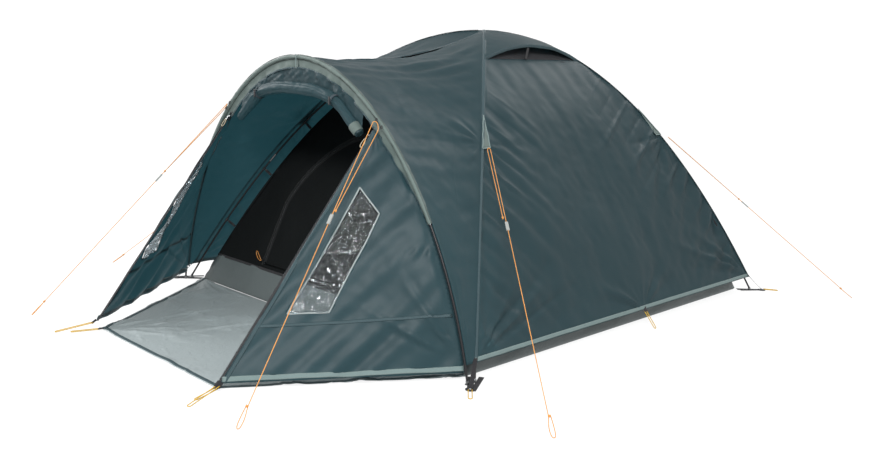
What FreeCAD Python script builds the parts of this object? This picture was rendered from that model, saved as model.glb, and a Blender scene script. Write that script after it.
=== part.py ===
import FreeCAD, Part
import math
import os
from types import SimpleNamespace

import Sketcher
from FreeCAD import Placement, Rotation
from FreeCAD import Vector as V

# Two-pole dome tent with a hooped front porch, in millimetres.
# +Z is up, +X is the right-hand side seen from inside looking out of the
# rear, the door faces -Y, and the origin is the middle of the bedroom floor.

SIZES = [
    ("bed_width", 1800, "bedroom floor, side to side"),
    ("bed_length", 2000, "bedroom floor, front to back"),
    ("inner_height", 1200, "inner tent, floor to apex"),
    ("tray_height", 130, "waterproof wall of the bedroom floor"),
    ("fly_margin_side", 85, "flysheet foot line beyond the floor, each side"),
    ("fly_margin_end", 50, "flysheet foot line beyond the floor, each end"),
    ("fly_height", 1250, "flysheet apex"),
    ("fly_hem", 72, "flysheet hem above the ground"),
    ("cloth", 2, "thickness given to every cloth panel"),
    ("pole_diameter", 8.5, "fibreglass pole sections"),
    ("pole_bore", 5.5, "bore of a pole section"),
    ("pole_gap", 3.5, "pole surface to flysheet at the apex"),
    ("pole_inset", 17, "pole foot inside the flysheet foot line"),
    ("cord_core", 2.5, "elastic cord inside the poles"),
    ("ferrule_length", 44, "steel sleeve over a pole joint"),
    ("ferrule_wall", 0.8, "wall of the steel sleeve"),
    ("arch_height", 1118, "top of the porch hoop sleeve"),
    ("arch_foot_out", 72, "hoop foot beyond the side of the bedroom floor"),
    ("arch_foot_ahead", 62, "hoop foot in front of the bedroom floor"),
    ("arch_lean", 28, "hoop top in front of its feet"),
    ("arch_shoulder", 436, "length of the flat pull at the hoop top"),
    ("arch_leg_in", 112, "hoop leg direction at the foot, inwards"),
    ("arch_leg_up", 613, "hoop leg direction at the foot, upwards"),
    ("sleeve_radius", 9, "outside of the hoop sleeve"),
    ("sleeve_end", 545, "height where the hoop sleeve stops"),
    ("band_width", 34, "pale band inside the sleeve"),
    ("roof_dip", 55, "sag of the roof between hoop and apex"),
    ("porch_depth", 753, "porch front line in front of the bedroom floor"),
    ("porch_half_width", 463, "porch front corner from the centre line"),
    ("porch_hem", 30, "porch panel hem above the ground"),
    ("door_half_width", 480, "door opening at its top, from the centre line"),
    ("door_top", 858, "height of the straight door edges"),
    ("panel_head", 34, "drop from a door edge to the porch panel's top corner"),
    ("roll_radius", 27, "rolled door bundle"),
    ("roll_height", 985, "rolled door centre above the ground"),
    ("inner_door_half_width", 470, "bedroom door"),
    ("inner_door_top", 780, "top of the bedroom door"),
    ("inner_door_bottom", 152, "bottom of the bedroom door"),
    ("door_gap", 3, "clear line round the bedroom door"),
    ("sheet_depth", 745, "porch groundsheet front edge in front of the bedroom"),
    ("sheet_front_half", 430, "porch groundsheet half width at the front"),
    ("sheet_margin", 5, "porch groundsheet beyond the bedroom floor at the back"),
    ("vent_share", 320, "vent mouth, thousandths of the way down a ridge"),
    ("vent_lift", 68, "vent lip above the roof line"),
    ("eyelet_bore", 8, "radius of a peg eyelet"),
    ("eyelet_height", 3, "thickness of a peg eyelet"),
    ("guy_diameter", 3, "guy cord"),
    ("runner_length", 40, "guy runner"),
    ("runner_bore", 4.2, "cord hole through a runner"),
    ("zip_width", 6, "zip coil"),
    ("zip_depth", 3.2, "zip coil"),
    ("slider_length", 20, "zip slider"),
    ("slider_clearance", 0.5, "slider to coil, all round"),
]

doc = FreeCAD.newDocument("dome_tent")
sheet = doc.addObject("Spreadsheet::Sheet", "Sizes")
for row, (alias, value, meaning) in enumerate(SIZES, start=1):
    sheet.set("A%d" % row, alias)
    sheet.set("B%d" % row, str(value))
    sheet.set("C%d" % row, meaning)
    sheet.setAlias("B%d" % row, alias)
doc.recompute()
s = SimpleNamespace(**{alias: float(sheet.get(alias)) for alias, _, _ in SIZES})

RIGHT, LEFT = 1, -1
SIDES = ((RIGHT, "right"), (LEFT, "left"))
parts = []


# ---------------------------------------------------------------- helpers

def keep(obj, label):
    """Name a finished sub-part after its node."""
    obj.Label = label
    parts.append(obj)
    return obj


def feature(label, shape):
    """A sub-part whose shape is worked out by this file."""
    if not shape.Placement.isIdentity():
        shape = Part.makeCompound([shape])
    obj = doc.addObject("Part::Feature", label)
    obj.Shape = shape
    obj.Placement = Placement()
    return keep(obj, label)


def group(shapes):
    """Separate solids kept as one node."""
    solids = [solid for shape in shapes for solid in shape.Solids]
    return Part.makeCompound(solids) if len(solids) > 1 else solids[0]


def mirrored(shape):
    """The same shape on the other side of the tent."""
    return shape.mirror(V(0, 0, 0), V(1, 0, 0))


def both_sides(shape):
    return group([shape, mirrored(shape)])


def prism(points, travel):
    """A flat outline pushed along a vector."""
    return Part.Face(Part.makePolygon(points + points[:1])).extrude(travel)


def rod(start, end, radius):
    return Part.makeCylinder(radius, (end - start).Length, start, end - start)


def tube(start, end, radius, bore):
    return rod(start, end, radius).cut(rod(start, end, bore))


def oriented(shape, origin, along, facing):
    """Stand a shape made along +X, facing +Z, at a place in the tent."""
    x_axis = V(along).normalize()
    y_axis = V(facing).cross(x_axis).normalize()
    z_axis = x_axis.cross(y_axis)
    turn = FreeCAD.Matrix(x_axis.x, y_axis.x, z_axis.x, origin.x,
                          x_axis.y, y_axis.y, z_axis.y, origin.y,
                          x_axis.z, y_axis.z, z_axis.z, origin.z)
    return shape.transformed(turn)


def slab(length, width, depth):
    """A plate centred on the origin, its length along X."""
    return Part.makeBox(length, width, depth,
                        V(-length / 2, -width / 2, -depth / 2))


# ------------------------------------------------------- arcs, cords, poles

def arc_by_tangents(start, corner, end):
    """The arc that leaves start towards corner and arrives at end from it."""
    middle = (start + end) / 2
    rise = corner - middle
    if rise.Length < 1e-6:
        return Part.makeLine(start, end)
    chord = (end - start).Length
    turn = math.atan2(rise.Length, chord / 2)
    sagitta = chord / 2 * math.tan(turn / 2)
    top = middle + rise.normalize() * sagitta
    return Part.Arc(start, top, end).toShape()


def biarc(start, start_way, end, end_way):
    """Two tangent arcs between two points with given directions."""
    chord = end - start
    total = start_way + end_way
    open_by = 2 * (1 - start_way.dot(end_way))
    reach = chord.dot(total)
    length = (math.sqrt(reach * reach + open_by * chord.dot(chord)) - reach) / open_by
    first = start + start_way * length
    second = end - end_way * length
    meet = (first + second) / 2
    return [arc_by_tangents(start, first, meet), arc_by_tangents(meet, second, end)]


def swept(edges, radius, bore=0):
    """A round rod, or a tube, along edges that follow on from each other."""
    spine = Part.Wire(edges)
    start = edges[0].valueAt(edges[0].FirstParameter)
    way = edges[0].tangentAt(edges[0].FirstParameter)
    ring = Part.Face(Part.Wire(Part.makeCircle(radius, start, way)))
    solid = spine.makePipeShell([ring.OuterWire], True, False)
    if bore:
        hole = Part.Wire(Part.makeCircle(bore, start, way))
        solid = solid.cut(spine.makePipeShell([hole], True, False))
    return solid


def cord_edges(points):
    """Straight runs joined by arcs as large as the two runs allow."""
    edges = []
    radii = []
    here = points[0]
    for before, corner, after in zip(points, points[1:], points[2:]):
        way_in = (corner - before).normalize()
        way_out = (after - corner).normalize()
        half_turn = way_in.getAngle(way_out) / 2
        trim = 0.45 * min((corner - before).Length, (after - corner).Length)
        radii.append(trim / math.tan(half_turn))
        start = corner - way_in * trim
        end = corner + way_out * trim
        edges.append(Part.makeLine(here, start))
        edges.append(arc_by_tangents(start, corner, end))
        here = end
    edges.append(Part.makeLine(here, points[-1]))
    return edges, radii


def cord(label, points, diameter):
    """A cord's plain tube, with its radii and volume reported."""
    edges, radii = cord_edges(points)
    solid = swept(edges, diameter / 2)
    length = sum(edge.Length for edge in edges)
    share = solid.Volume / (math.pi * diameter ** 2 / 4 * length)
    print("%s: %.0f mm long, radii %s, volume share %.3f"
          % (label, length, [round(r, 1) for r in radii], share))
    return feature(label, solid)


# ------------------------------------------------------------- dome shapes

# Every cross-section of the dome is a parabola: at a share k of the way
# from apex to corner, a surface stands at height * (1 - k * k).

def dome(half_x, half_y, height):
    return SimpleNamespace(x=half_x, y=half_y, z=height)


def inside(shell, depth):
    """The same dome, one skin further in, with its ridges in the same planes."""
    half_x = shell.x - depth
    return dome(half_x, shell.y * half_x / shell.x, shell.z - depth)


def share_at(shell, height):
    return math.sqrt(1 - height / shell.z)


def ridge_point(shell, share, side_x, side_y):
    return V(side_x * shell.x * share, side_y * shell.y * share,
             shell.z * (1 - share * share))


FLY = dome(s.bed_width / 2 + s.fly_margin_side,
           s.bed_length / 2 + s.fly_margin_end, s.fly_height)
INNER = dome(s.bed_width / 2, s.bed_length / 2, s.inner_height)
POLE = dome(FLY.x - s.pole_inset,
            FLY.y * (FLY.x - s.pole_inset) / FLY.x,
            s.fly_height - s.cloth - s.pole_gap - s.pole_diameter / 2)
FAR = 4000


def parabola_edge(half, height, low, high):
    """The profile's curve between two heights, as an exact Bezier."""
    inner = half * math.sqrt(max(0, 1 - high / height))
    outer = half * math.sqrt(1 - low / height)
    slope = -2 * height * inner / half ** 2
    top = height * (1 - (inner / half) ** 2)
    middle = V((inner + outer) / 2, 0, top + slope * (outer - inner) / 2)
    curve = Part.BezierCurve()
    curve.setPoles([V(inner, 0, top), middle, V(outer, 0, low)])
    return curve.toShape()


def profile_face(half_out, height_out, half_in, height_in, low, high):
    """The cut through one skin of the dome, in the XZ plane."""
    skins = [parabola_edge(half_out, height_out, low, min(high, height_out)),
             parabola_edge(half_in, height_in, low, min(high, height_in))]
    tops = [skin.Vertexes[0].Point for skin in skins]
    feet = [skin.Vertexes[-1].Point for skin in skins]
    edges = [skins[0], Part.makeLine(feet[0], feet[1]), skins[1],
             Part.makeLine(tops[1], tops[0])]
    return Part.Face(Part.Wire(Part.__sortEdges__(edges)))


def side_panel(outer, inner, low, high):
    """The skin of the +X face of a dome, between its two ridges."""
    face = profile_face(outer.x, outer.z, inner.x, inner.z, low, high)
    face.translate(V(0, -outer.y, 0))
    block = face.extrude(V(0, 2 * outer.y, 0))
    wedge = prism([V(0, 0, -10), V(2 * outer.x, -2 * outer.y, -10),
                   V(2 * outer.x, 2 * outer.y, -10)], V(0, 0, FAR))
    return block.common(wedge)


def rear_panel(outer, inner, low, high):
    """The skin of the +Y face of a dome, between its two ridges."""
    face = profile_face(outer.y, outer.z, inner.y, inner.z, low, high)
    face.rotate(V(0, 0, 0), V(0, 0, 1), 90)
    face.translate(V(-outer.x, 0, 0))
    block = face.extrude(V(2 * outer.x, 0, 0))
    wedge = prism([V(0, 0, -10), V(2 * outer.x, 2 * outer.y, -10),
                   V(-2 * outer.x, 2 * outer.y, -10)], V(0, 0, FAR))
    return block.common(wedge)


def front_panel(outer, inner, low, high):
    return rear_panel(outer, inner, low, high).mirror(V(0, 0, 0), V(0, 1, 0))


# ------------------------------------------------------------- porch hoop

arch_half_width = s.bed_width / 2 + s.arch_foot_out
arch_foot = s.bed_length / 2 + s.arch_foot_ahead
porch_reach = s.bed_length / 2 + s.porch_depth


def arch_plane_y(height):
    return -arch_foot - s.arch_lean * height / s.arch_height


def arch_flat(share, inset):
    """Hoop line in its own plane: share 0 at the top, 1 at the foot."""
    poles = [(0, s.arch_height), (s.arch_shoulder, s.arch_height),
             (arch_half_width - s.arch_leg_in, s.arch_leg_up),
             (arch_half_width, 0)]
    rest = 1 - share
    weights = (rest ** 3, 3 * rest ** 2 * share, 3 * rest * share ** 2, share ** 3)
    x = sum(w * p[0] for w, p in zip(weights, poles))
    z = sum(w * p[1] for w, p in zip(weights, poles))
    slopes = (rest ** 2, 2 * rest * share, share ** 2)
    steps = [(b[0] - a[0], b[1] - a[1]) for a, b in zip(poles, poles[1:])]
    way_x = sum(w * p[0] for w, p in zip(slopes, steps))
    way_z = sum(w * p[1] for w, p in zip(slopes, steps))
    length = math.hypot(way_x, way_z)
    return (x + inset * way_z / length, z - inset * way_x / length,
            way_x / length, way_z / length)


def arch_point(share, inset, side=RIGHT, forward=0):
    x, z, _, _ = arch_flat(share, inset)
    return V(side * x, arch_plane_y(z) - forward, z)


def arch_way(share):
    _, _, way_x, way_z = arch_flat(share, 0)
    return V(way_x, -way_z * s.arch_lean / s.arch_height, way_z).normalize()


def arch_share_at(height, inset):
    """The share at which the hoop line stands at a height."""
    low, high = 0.0, 1.0
    for _ in range(40):
        middle = (low + high) / 2
        if arch_flat(middle, inset)[1] > height:
            low = middle
        else:
            high = middle
    return low


def spread(first, last, count):
    return [first + (last - first) * i / (count - 1) for i in range(count)]


# ------------------------------------------------------------ cloth lofts

def curve_edge(points):
    if len(points) == 2:
        return Part.makeLine(points[0], points[1])
    curve = Part.BSplineCurve()
    curve.interpolate(Points=points, Parameters=spread(0.0, 1.0, len(points)))
    return curve.toShape()


def cloth_section(outer, inner):
    """The thin closed outline of a skin along one line of it."""
    return Part.Wire([curve_edge(outer), Part.makeLine(outer[-1], inner[-1]),
                      curve_edge(inner[::-1]), Part.makeLine(inner[0], outer[0])])


def cloth_loft(outer_rows, inner_rows):
    """A skin from its lines, closed by a narrow strip along every edge."""
    sections = [cloth_section(o, i) for o, i in zip(outer_rows, inner_rows)]
    faces = Part.makeLoft(sections, False, len(sections) == 2).Faces
    for outer, inner in ((outer_rows[0], inner_rows[0]), (outer_rows[-1], inner_rows[-1])):
        faces.append(Part.makeRuledSurface(curve_edge(outer), curve_edge(inner)))
    shell = Part.makeShell(faces)
    shell.sewShape()
    solid = Part.makeSolid(Part.makeShell(shell.Faces))
    if solid.Volume < 0:
        solid.reverse()
    return solid


# ------------------------------------------------------------- flysheet

fly_inside = inside(FLY, s.cloth)
vent_share = s.vent_share / 1000
vent_height = FLY.z * (1 - vent_share ** 2)

fly_side = group([side_panel(FLY, fly_inside, s.fly_hem, vent_height)])
for side, name in SIDES:
    feature("fly_side_" + name, fly_side if side == RIGHT else mirrored(fly_side))
feature("fly_rear", group([rear_panel(FLY, fly_inside, s.fly_hem, FLY.z)]))

ROOF_POINTS = 9
roof_foot = arch_share_at(s.fly_hem, 0)


def roof_row(shell, depth, share, dip):
    """One line of the roof, a share of the way from the hoop to the ridge."""
    foot = share_at(shell, s.fly_hem)
    row = []
    for step in spread(0.0, 1.0, ROOF_POINTS):
        hoop = arch_point(roof_foot * step, s.sleeve_radius + depth)
        hoop.y += s.sleeve_radius
        ridge = ridge_point(shell, foot * step, 1, -1)
        point = hoop * (1 - share) + ridge * share
        point.z -= dip * (1 - step) ** 2 * (1 + 2 * step)
        row.append(point)
    return row


ROOF_ROWS = ((0.0, 0.0), (0.3, s.roof_dip), (1.0, 0.0))
roof = cloth_loft([roof_row(FLY, 0, share, dip) for share, dip in ROOF_ROWS],
                  [roof_row(fly_inside, s.cloth, share, dip)
                   for share, dip in ROOF_ROWS])
for side, name in SIDES:
    feature("fly_roof_" + name, roof if side == RIGHT else mirrored(roof))

# Porch side panels run from the pale band of the hoop to the door edge.
band_full = s.sleeve_radius * 2 + s.band_width
panel_top = arch_share_at(s.door_top - s.panel_head, band_full)
panel_foot = arch_share_at(s.porch_hem + 12, s.sleeve_radius * 2)
door_edge_top = V(s.door_half_width, arch_plane_y(s.door_top) - 12, s.door_top)
door_edge_foot = V(s.porch_half_width, -porch_reach, s.porch_hem)
door_way = (door_edge_foot - door_edge_top).normalize()


def band_inset(share):
    """Inner edge of the pale band, which narrows towards the sleeve end."""
    height = arch_flat(share, 0)[1]
    full_width_above = s.door_top - s.panel_head
    kept = min(1, max(0, (height - s.sleeve_end) / (full_width_above - s.sleeve_end)))
    return s.sleeve_radius * 2 + s.band_width * kept


PANEL_POINTS = 9
panel_rows = [
    [arch_point(share, band_inset(share) + 1)
     for share in spread(panel_top, panel_foot, PANEL_POINTS)],
    [door_edge_top + (door_edge_foot - door_edge_top) * step
     for step in spread(0.0, 1.0, PANEL_POINTS)]]
panel_out = (door_edge_foot - door_edge_top).cross(
    arch_point(panel_foot, 0) - door_edge_top).normalize()
if panel_out.x < 0:
    panel_out = panel_out * -1
panel_skin = [[point - panel_out * s.cloth for point in row] for row in panel_rows]
porch_panel = cloth_loft(panel_rows, panel_skin)

# The window's corners, as (distance in front of the hoop's foot, height): it is
# cut straight through along X.
WINDOW = [(142, 659), (124, 574), (345, 251), (457, 244)]
window_block = prism([V(300, -arch_foot - ahead, z) for ahead, z in WINDOW], V(400, 0, 0))
window_pane = group([porch_panel.common(window_block)])
porch_panel = group([porch_panel.cut(window_block)])
for side, name in SIDES:
    feature("porch_panel_" + name, porch_panel if side == RIGHT else mirrored(porch_panel))
    feature("porch_window_" + name, window_pane if side == RIGHT else mirrored(window_pane))

# Pale band: a flat strip in the hoop's plane, inside the sleeve.
BAND_POINTS = 7
band_foot = arch_share_at(s.sleeve_end, s.sleeve_radius * 2)
band_line = spread(0.0, band_foot, BAND_POINTS)
band_edges = [[arch_point(share, s.sleeve_radius * 2 + 0.3) for share in band_line],
              [arch_point(share, band_inset(share)) for share in band_line]]
band_outline = Part.Wire([curve_edge(band_edges[0]),
                          Part.makeLine(band_edges[0][-1], band_edges[1][-1]),
                          curve_edge(band_edges[1][::-1]),
                          Part.makeLine(band_edges[1][0], band_edges[0][0])])
band = Part.Face(band_outline).extrude(V(0, s.cloth, 0))
feature("arch_band", both_sides(band))


def arch_spine(first, last, count, inset):
    """Tangent arcs along the right half of the hoop."""
    edges = []
    shares = spread(first, last, count + 1)
    for a, b in zip(shares, shares[1:]):
        edges += biarc(arch_point(a, inset), arch_way(a), arch_point(b, inset), arch_way(b))
    return edges


sleeve = swept(arch_spine(0.0, band_foot, 4, s.sleeve_radius),
               s.sleeve_radius, s.sleeve_radius - s.cloth)
feature("arch_sleeve", both_sides(sleeve))


# ------------------------------------------------------------- poles

def pole_chain(point_at, way_at, breaks):
    """Arcs of each pole section, foot to foot."""
    return [biarc(point_at(a), way_at(a), point_at(b), way_at(b))
            for a, b in zip(breaks, breaks[1:])]


TIP_HEIGHT = 16
DOME_SECTIONS = 7
HOOP_SECTIONS = 6
pole_radius = s.pole_diameter / 2


def dome_pole_lines(shell, side_y):
    """One dome pole, from its -X foot to its +X foot."""
    foot = share_at(shell, TIP_HEIGHT)

    def point_at(share):
        return ridge_point(shell, share, 1, side_y)

    def way_at(share):
        return V(shell.x, side_y * shell.y, -2 * shell.z * share).normalize()

    return point_at, way_at, spread(-foot, foot, DOME_SECTIONS + 1)


def hoop_pole_lines():
    """The porch hoop's pole, from its -X foot to its +X foot."""
    foot = arch_share_at(TIP_HEIGHT, s.sleeve_radius)

    def point_at(share):
        return arch_point(abs(share), s.sleeve_radius, RIGHT if share >= 0 else LEFT)

    def way_at(share):
        way = arch_way(abs(share))
        return way if share >= 0 else V(way.x, -way.y, -way.z)

    return point_at, way_at, spread(-foot, foot, HOOP_SECTIONS + 1)


lower_pole = dome(POLE.x, POLE.y, POLE.z - s.pole_diameter - 0.5)
POLES = (("dome_pole_front_left", dome_pole_lines(lower_pole, 1)),
         ("dome_pole_front_right", dome_pole_lines(POLE, -1)),
         ("porch_pole", hoop_pole_lines()))
ferrules = []
cores = []
tips = []
TIP_RADIUS = 6
TIP_PIN = 3
for label, (point_at, way_at, breaks) in POLES:
    chain = pole_chain(point_at, way_at, breaks)
    feature(label, group([swept(arcs, pole_radius, s.pole_bore / 2) for arcs in chain]))
    cores.append(swept([arc for arcs in chain for arc in arcs], s.cord_core / 2))
    for share in breaks[1:-1]:
        half = way_at(share) * (s.ferrule_length / 2)
        bore = pole_radius + 0.4
        ferrules.append(tube(point_at(share) - half, point_at(share) + half,
                             bore + s.ferrule_wall, bore))
    for share, outwards in ((breaks[0], -1), (breaks[-1], 1)):
        end = point_at(share)
        way = way_at(share) * outwards
        cap = rod(end + way * 0.2, end + way * 7, TIP_RADIUS)
        pin = rod(V(end.x, end.y, 3), end - V(0, 0, 3), TIP_PIN)
        tips.append(cap.fuse(pin))
feature("pole_ferrules", group(ferrules))
feature("shock_cords", group(cores))
feature("pole_tips", group(tips))

# ------------------------------------------------------------- inner tent

inner_skin = inside(INNER, s.cloth)
inner_side = group([side_panel(INNER, inner_skin, s.tray_height, INNER.z)])
for side, name in SIDES:
    feature("inner_side_" + name, inner_side if side == RIGHT else mirrored(inner_side))
feature("inner_rear", group([rear_panel(INNER, inner_skin, s.tray_height, INNER.z)]))


HEAD_FACETS = 18


def door_outline(margin):
    """The bedroom door's outline from the front: straight sides, arched top in facets."""
    half = s.inner_door_half_width + margin
    low = s.inner_door_bottom - margin
    rise = 0.75 * half
    radius = (half ** 2 + rise ** 2) / (2 * rise)
    centre = s.inner_door_top + margin - radius
    sweep = math.asin(half / radius)
    head = [V(radius * math.sin(angle), 0, centre + radius * math.cos(angle))
            for angle in spread(sweep, -sweep, HEAD_FACETS + 1)]
    return Part.makePolygon([V(-half, 0, low), V(half, 0, low)] + head + [V(-half, 0, low)])


def door_block(margin):
    face = Part.Face(door_outline(margin))
    face.translate(V(0, -FAR / 2, 0))
    return face.extrude(V(0, FAR / 2, 0))


inner_wall = front_panel(INNER, inner_skin, s.tray_height, INNER.z)
feature("inner_front", group([inner_wall.cut(door_block(s.door_gap))]))
feature("inner_door", group([inner_wall.common(door_block(0))]))

# Bedroom floor: a tray whose walls lean in with the inner tent.
tray_top = share_at(INNER, s.tray_height)


def tray_wedge(name, inset):
    """A four-sided frustum, its expressions bound to the sheet."""
    wedge = doc.addObject("Part::Wedge", name)
    half_x = "Sizes.bed_width / 2 - %s" % inset
    half_y = "Sizes.bed_length / 2 - %s" % inset
    wedge.setExpression("Xmin", "-(%s)" % half_x)
    wedge.setExpression("Xmax", half_x)
    wedge.setExpression("Zmin", "-(%s)" % half_y)
    wedge.setExpression("Zmax", half_y)
    lean = "sqrt(1 - Sizes.tray_height / Sizes.inner_height)"
    wedge.setExpression("X2min", "-(Sizes.bed_width / 2 * %s - %s)" % (lean, inset))
    wedge.setExpression("X2max", "Sizes.bed_width / 2 * %s - %s" % (lean, inset))
    wedge.setExpression("Z2min", "-(Sizes.bed_length / 2 * %s - %s)" % (lean, inset))
    wedge.setExpression("Z2max", "Sizes.bed_length / 2 * %s - %s" % (lean, inset))
    wedge.setExpression("Ymin", "0")
    wedge.setExpression("Ymax", "Sizes.tray_height")
    wedge.Placement = Placement(V(0, 0, 0), Rotation(V(1, 0, 0), 90))
    return wedge


tray_outer = tray_wedge("TrayOutside", "0")
tray_inner = tray_wedge("TrayInside", "Sizes.cloth")
tray_inner.Placement = Placement(V(0, 0, s.cloth), Rotation(V(1, 0, 0), 90))
tray = doc.addObject("Part::Cut", "bathtub_floor")
tray.Base = tray_outer
tray.Tool = tray_inner
keep(tray, "bathtub_floor")

# Porch groundsheet: a flat trapezium that meets the bedroom floor.
sheet_body = doc.addObject("PartDesign::Body", "porch_groundsheet")
sheet_sketch = sheet_body.newObject("Sketcher::SketchObject", "GroundsheetOutline")
ground_plane = next(plane for plane in sheet_body.Origin.OriginFeatures
                    if plane.Role == "XY_Plane")
sheet_sketch.AttachmentSupport = [(ground_plane, "")]
sheet_sketch.MapMode = "FlatFace"
rear_y = -s.bed_length / 2 - 1
front_y = -s.bed_length / 2 - s.sheet_depth
rear_x = s.bed_width / 2 + s.sheet_margin
corners = [V(-rear_x, rear_y, 0), V(-s.sheet_front_half, front_y, 0),
           V(s.sheet_front_half, front_y, 0), V(rear_x, rear_y, 0)]
for start, end in zip(corners, corners[1:] + corners[:1]):
    sheet_sketch.addGeometry(Part.LineSegment(start, end), False)
SKETCH_ORIGIN, LINE_START, LINE_END = (-1, 1), 1, 2
REAR_X, REAR_Y = "(Sizes.bed_width / 2 + Sizes.sheet_margin)", "-Sizes.bed_length / 2 - 1"
FRONT_Y = "-Sizes.bed_length / 2 - Sizes.sheet_depth"
CORNER_SIZES = (("-" + REAR_X, REAR_Y), ("-Sizes.sheet_front_half", FRONT_Y),
                ("Sizes.sheet_front_half", FRONT_Y), (REAR_X, REAR_Y))
for line, corner in enumerate(corners):
    sheet_sketch.addConstraint(Sketcher.Constraint(
        "Coincident", line, LINE_END, (line + 1) % len(corners), LINE_START))
    for kind, value, rule in zip(("DistanceX", "DistanceY"), corner, CORNER_SIZES[line]):
        index = sheet_sketch.addConstraint(Sketcher.Constraint(
            kind, *SKETCH_ORIGIN, line, LINE_START, value))
        sheet_sketch.setExpression("Constraints[%d]" % index, rule)
sheet_pad = sheet_body.newObject("PartDesign::Pad", "GroundsheetThickness")
sheet_pad.Profile = sheet_sketch
sheet_pad.setExpression("Length", "Sizes.cloth")
doc.recompute()
keep(sheet_body, "porch_groundsheet")

# Bedroom door zip: the coil lies in the clear line round the door's sides and top.
ZIP_LINE = 0.9
zip_ring = inner_wall.common(door_block(s.door_gap - 0.2)).cut(door_block(ZIP_LINE))
below_door = Part.makeBox(FAR, FAR, s.inner_door_bottom + 6, V(-FAR / 2, -FAR / 2, 0))
feature("inner_zip", group([zip_ring.cut(below_door)]))


def inner_wall_y(height, stand_off=0):
    return -INNER.y * share_at(INNER, height) - stand_off


INNER_SLIDER_LOW = s.inner_door_bottom + 22
INNER_SLIDER_HIGH = INNER_SLIDER_LOW + 200
INNER_SLIDER_HALF = 4
slider_x = -s.inner_door_half_width - INNER_SLIDER_HALF - 0.4
inner_slider_from = V(slider_x, inner_wall_y(INNER_SLIDER_LOW, 7), INNER_SLIDER_LOW)
inner_slider_to = V(slider_x, inner_wall_y(INNER_SLIDER_HIGH, 7), INNER_SLIDER_HIGH)
inner_slider_way = (inner_slider_to - inner_slider_from).normalize()
inner_front_way = V(1, 0, 0).cross(inner_slider_way)
if inner_front_way.y > 0:
    inner_front_way = inner_front_way * -1
slider_plate = slab(s.slider_length, 2 * INNER_SLIDER_HALF, 3.2)
slider_bridge = slab(10, 5, 4).translated(V(0, 0, 3))
slider_eye = rod(V(7, 0, 3), V(7, 0, 4.6), 4).cut(rod(V(7.6, 0, 2), V(7.6, 0, 6), 1.8))
inner_slider = slider_plate.fuse(slider_bridge).fuse(slider_eye).removeSplitter()
feature("inner_zip_slider",
        group([oriented(inner_slider, inner_slider_from, inner_slider_way * -1,
                        inner_front_way)]))

# ------------------------------------------------------------- hem tape

TAPE_HEIGHT = 20
tape_outer, tape_inner = inside(FLY, -1.5), inside(FLY, -0.3)
side_tape = side_panel(tape_outer, tape_inner, s.fly_hem, s.fly_hem + TAPE_HEIGHT)
rear_tape = rear_panel(tape_outer, tape_inner, s.fly_hem, s.fly_hem + TAPE_HEIGHT)


def porch_tape_rows(lift):
    """Foot and head lines of the porch hem's tape, lifted off the panel."""
    rows = [[], []]
    ends = [row[-1] for row in panel_rows]
    hem_way = (ends[1] - ends[0]).normalize()
    for row, end, inward in zip(panel_rows, ends, (hem_way, hem_way * -1)):
        up = (row[-2] - end).normalize()
        out = up.cross(hem_way).normalize()
        if out.x < 0:
            out = out * -1
        foot = end + inward * 14 + up * 3 + out * lift
        rows[0].append(foot)
        rows[1].append(foot + up * TAPE_HEIGHT)
    return rows


porch_tape = cloth_loft(porch_tape_rows(2.2), porch_tape_rows(1.0))
feature("hem_tape", group([side_tape, mirrored(side_tape), rear_tape,
                           porch_tape, mirrored(porch_tape)]))

# ------------------------------------------------------------- porch door

door_face = V(1, 0, 0).cross(door_way).normalize()
if door_face.y > 0:
    door_face = door_face * -1
TAPE_REACH = 9
door_length = (door_edge_foot - door_edge_top).Length
coil_top = door_edge_top + V(-TAPE_REACH - s.zip_width / 2, 0, 0)
coil_middle = coil_top + door_way * (door_length / 2)
coil = slab(door_length - 4, s.zip_width, s.zip_depth)
coil_tape = slab(door_length - 4, TAPE_REACH - 0.5, 1).translated(
    V(0, -(s.zip_width + TAPE_REACH - 0.5) / 2, 0))
coil_side = door_face.cross(door_way)
if coil_side.x > 0:
    coil_tape = coil_tape.mirror(V(0, 0, 0), V(0, 1, 0))
door_zip = oriented(coil.fuse(coil_tape), coil_middle, door_way, door_face)
feature("door_zips", both_sides(door_zip))

SLIDER_WALL = 2.5
SLIDER_REST = 34
gap = s.slider_clearance
slider_width = s.zip_width + 2 * (gap + SLIDER_WALL)
slider_depth = s.zip_depth + 2 * (gap + SLIDER_WALL)
slider = slab(s.slider_length, slider_width, slider_depth)
slider = slider.cut(slab(2 * s.slider_length, s.zip_width + 2 * gap, s.zip_depth + 2 * gap))
slot_side = 1 if coil_side.x > 0 else -1
slider = slider.cut(slab(2 * s.slider_length, slider_width, 1 + 2 * gap).translated(
    V(0, slot_side * slider_width / 2, 0)))
bridge = slab(12, 5, 4).translated(V(0, 0, slider_depth / 2 + 1.5))
tab = rod(V(9.5, 0, 0), V(9.5, 0, 1.6), 5).cut(rod(V(10.5, 0, -1), V(10.5, 0, 3), 1.8))
tab = tab.translated(V(0, 0, slider_depth / 2 + 1.5))
slider = slider.fuse(bridge).fuse(tab).removeSplitter()
slider_place = coil_top + door_way * SLIDER_REST
door_slider = group([oriented(slider, slider_place, door_way, door_face)])
for side, name in SIDES:
    feature("zip_slider_" + name, door_slider if side == RIGHT else mirrored(door_slider))

# The rolled door hangs inside the hoop: points are (x, z), the left half mirrored.
ROLL_END_GAP = 80
roll_half = s.door_half_width - ROLL_END_GAP
ROLL_LINE = [(roll_half * out, s.roll_height - drop)
             for out, drop in ((0, 0), (0.325, 5), (0.625, 33), (0.85, 99), (1, 147))]
roll_y = arch_plane_y(s.roll_height) - 14


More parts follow.
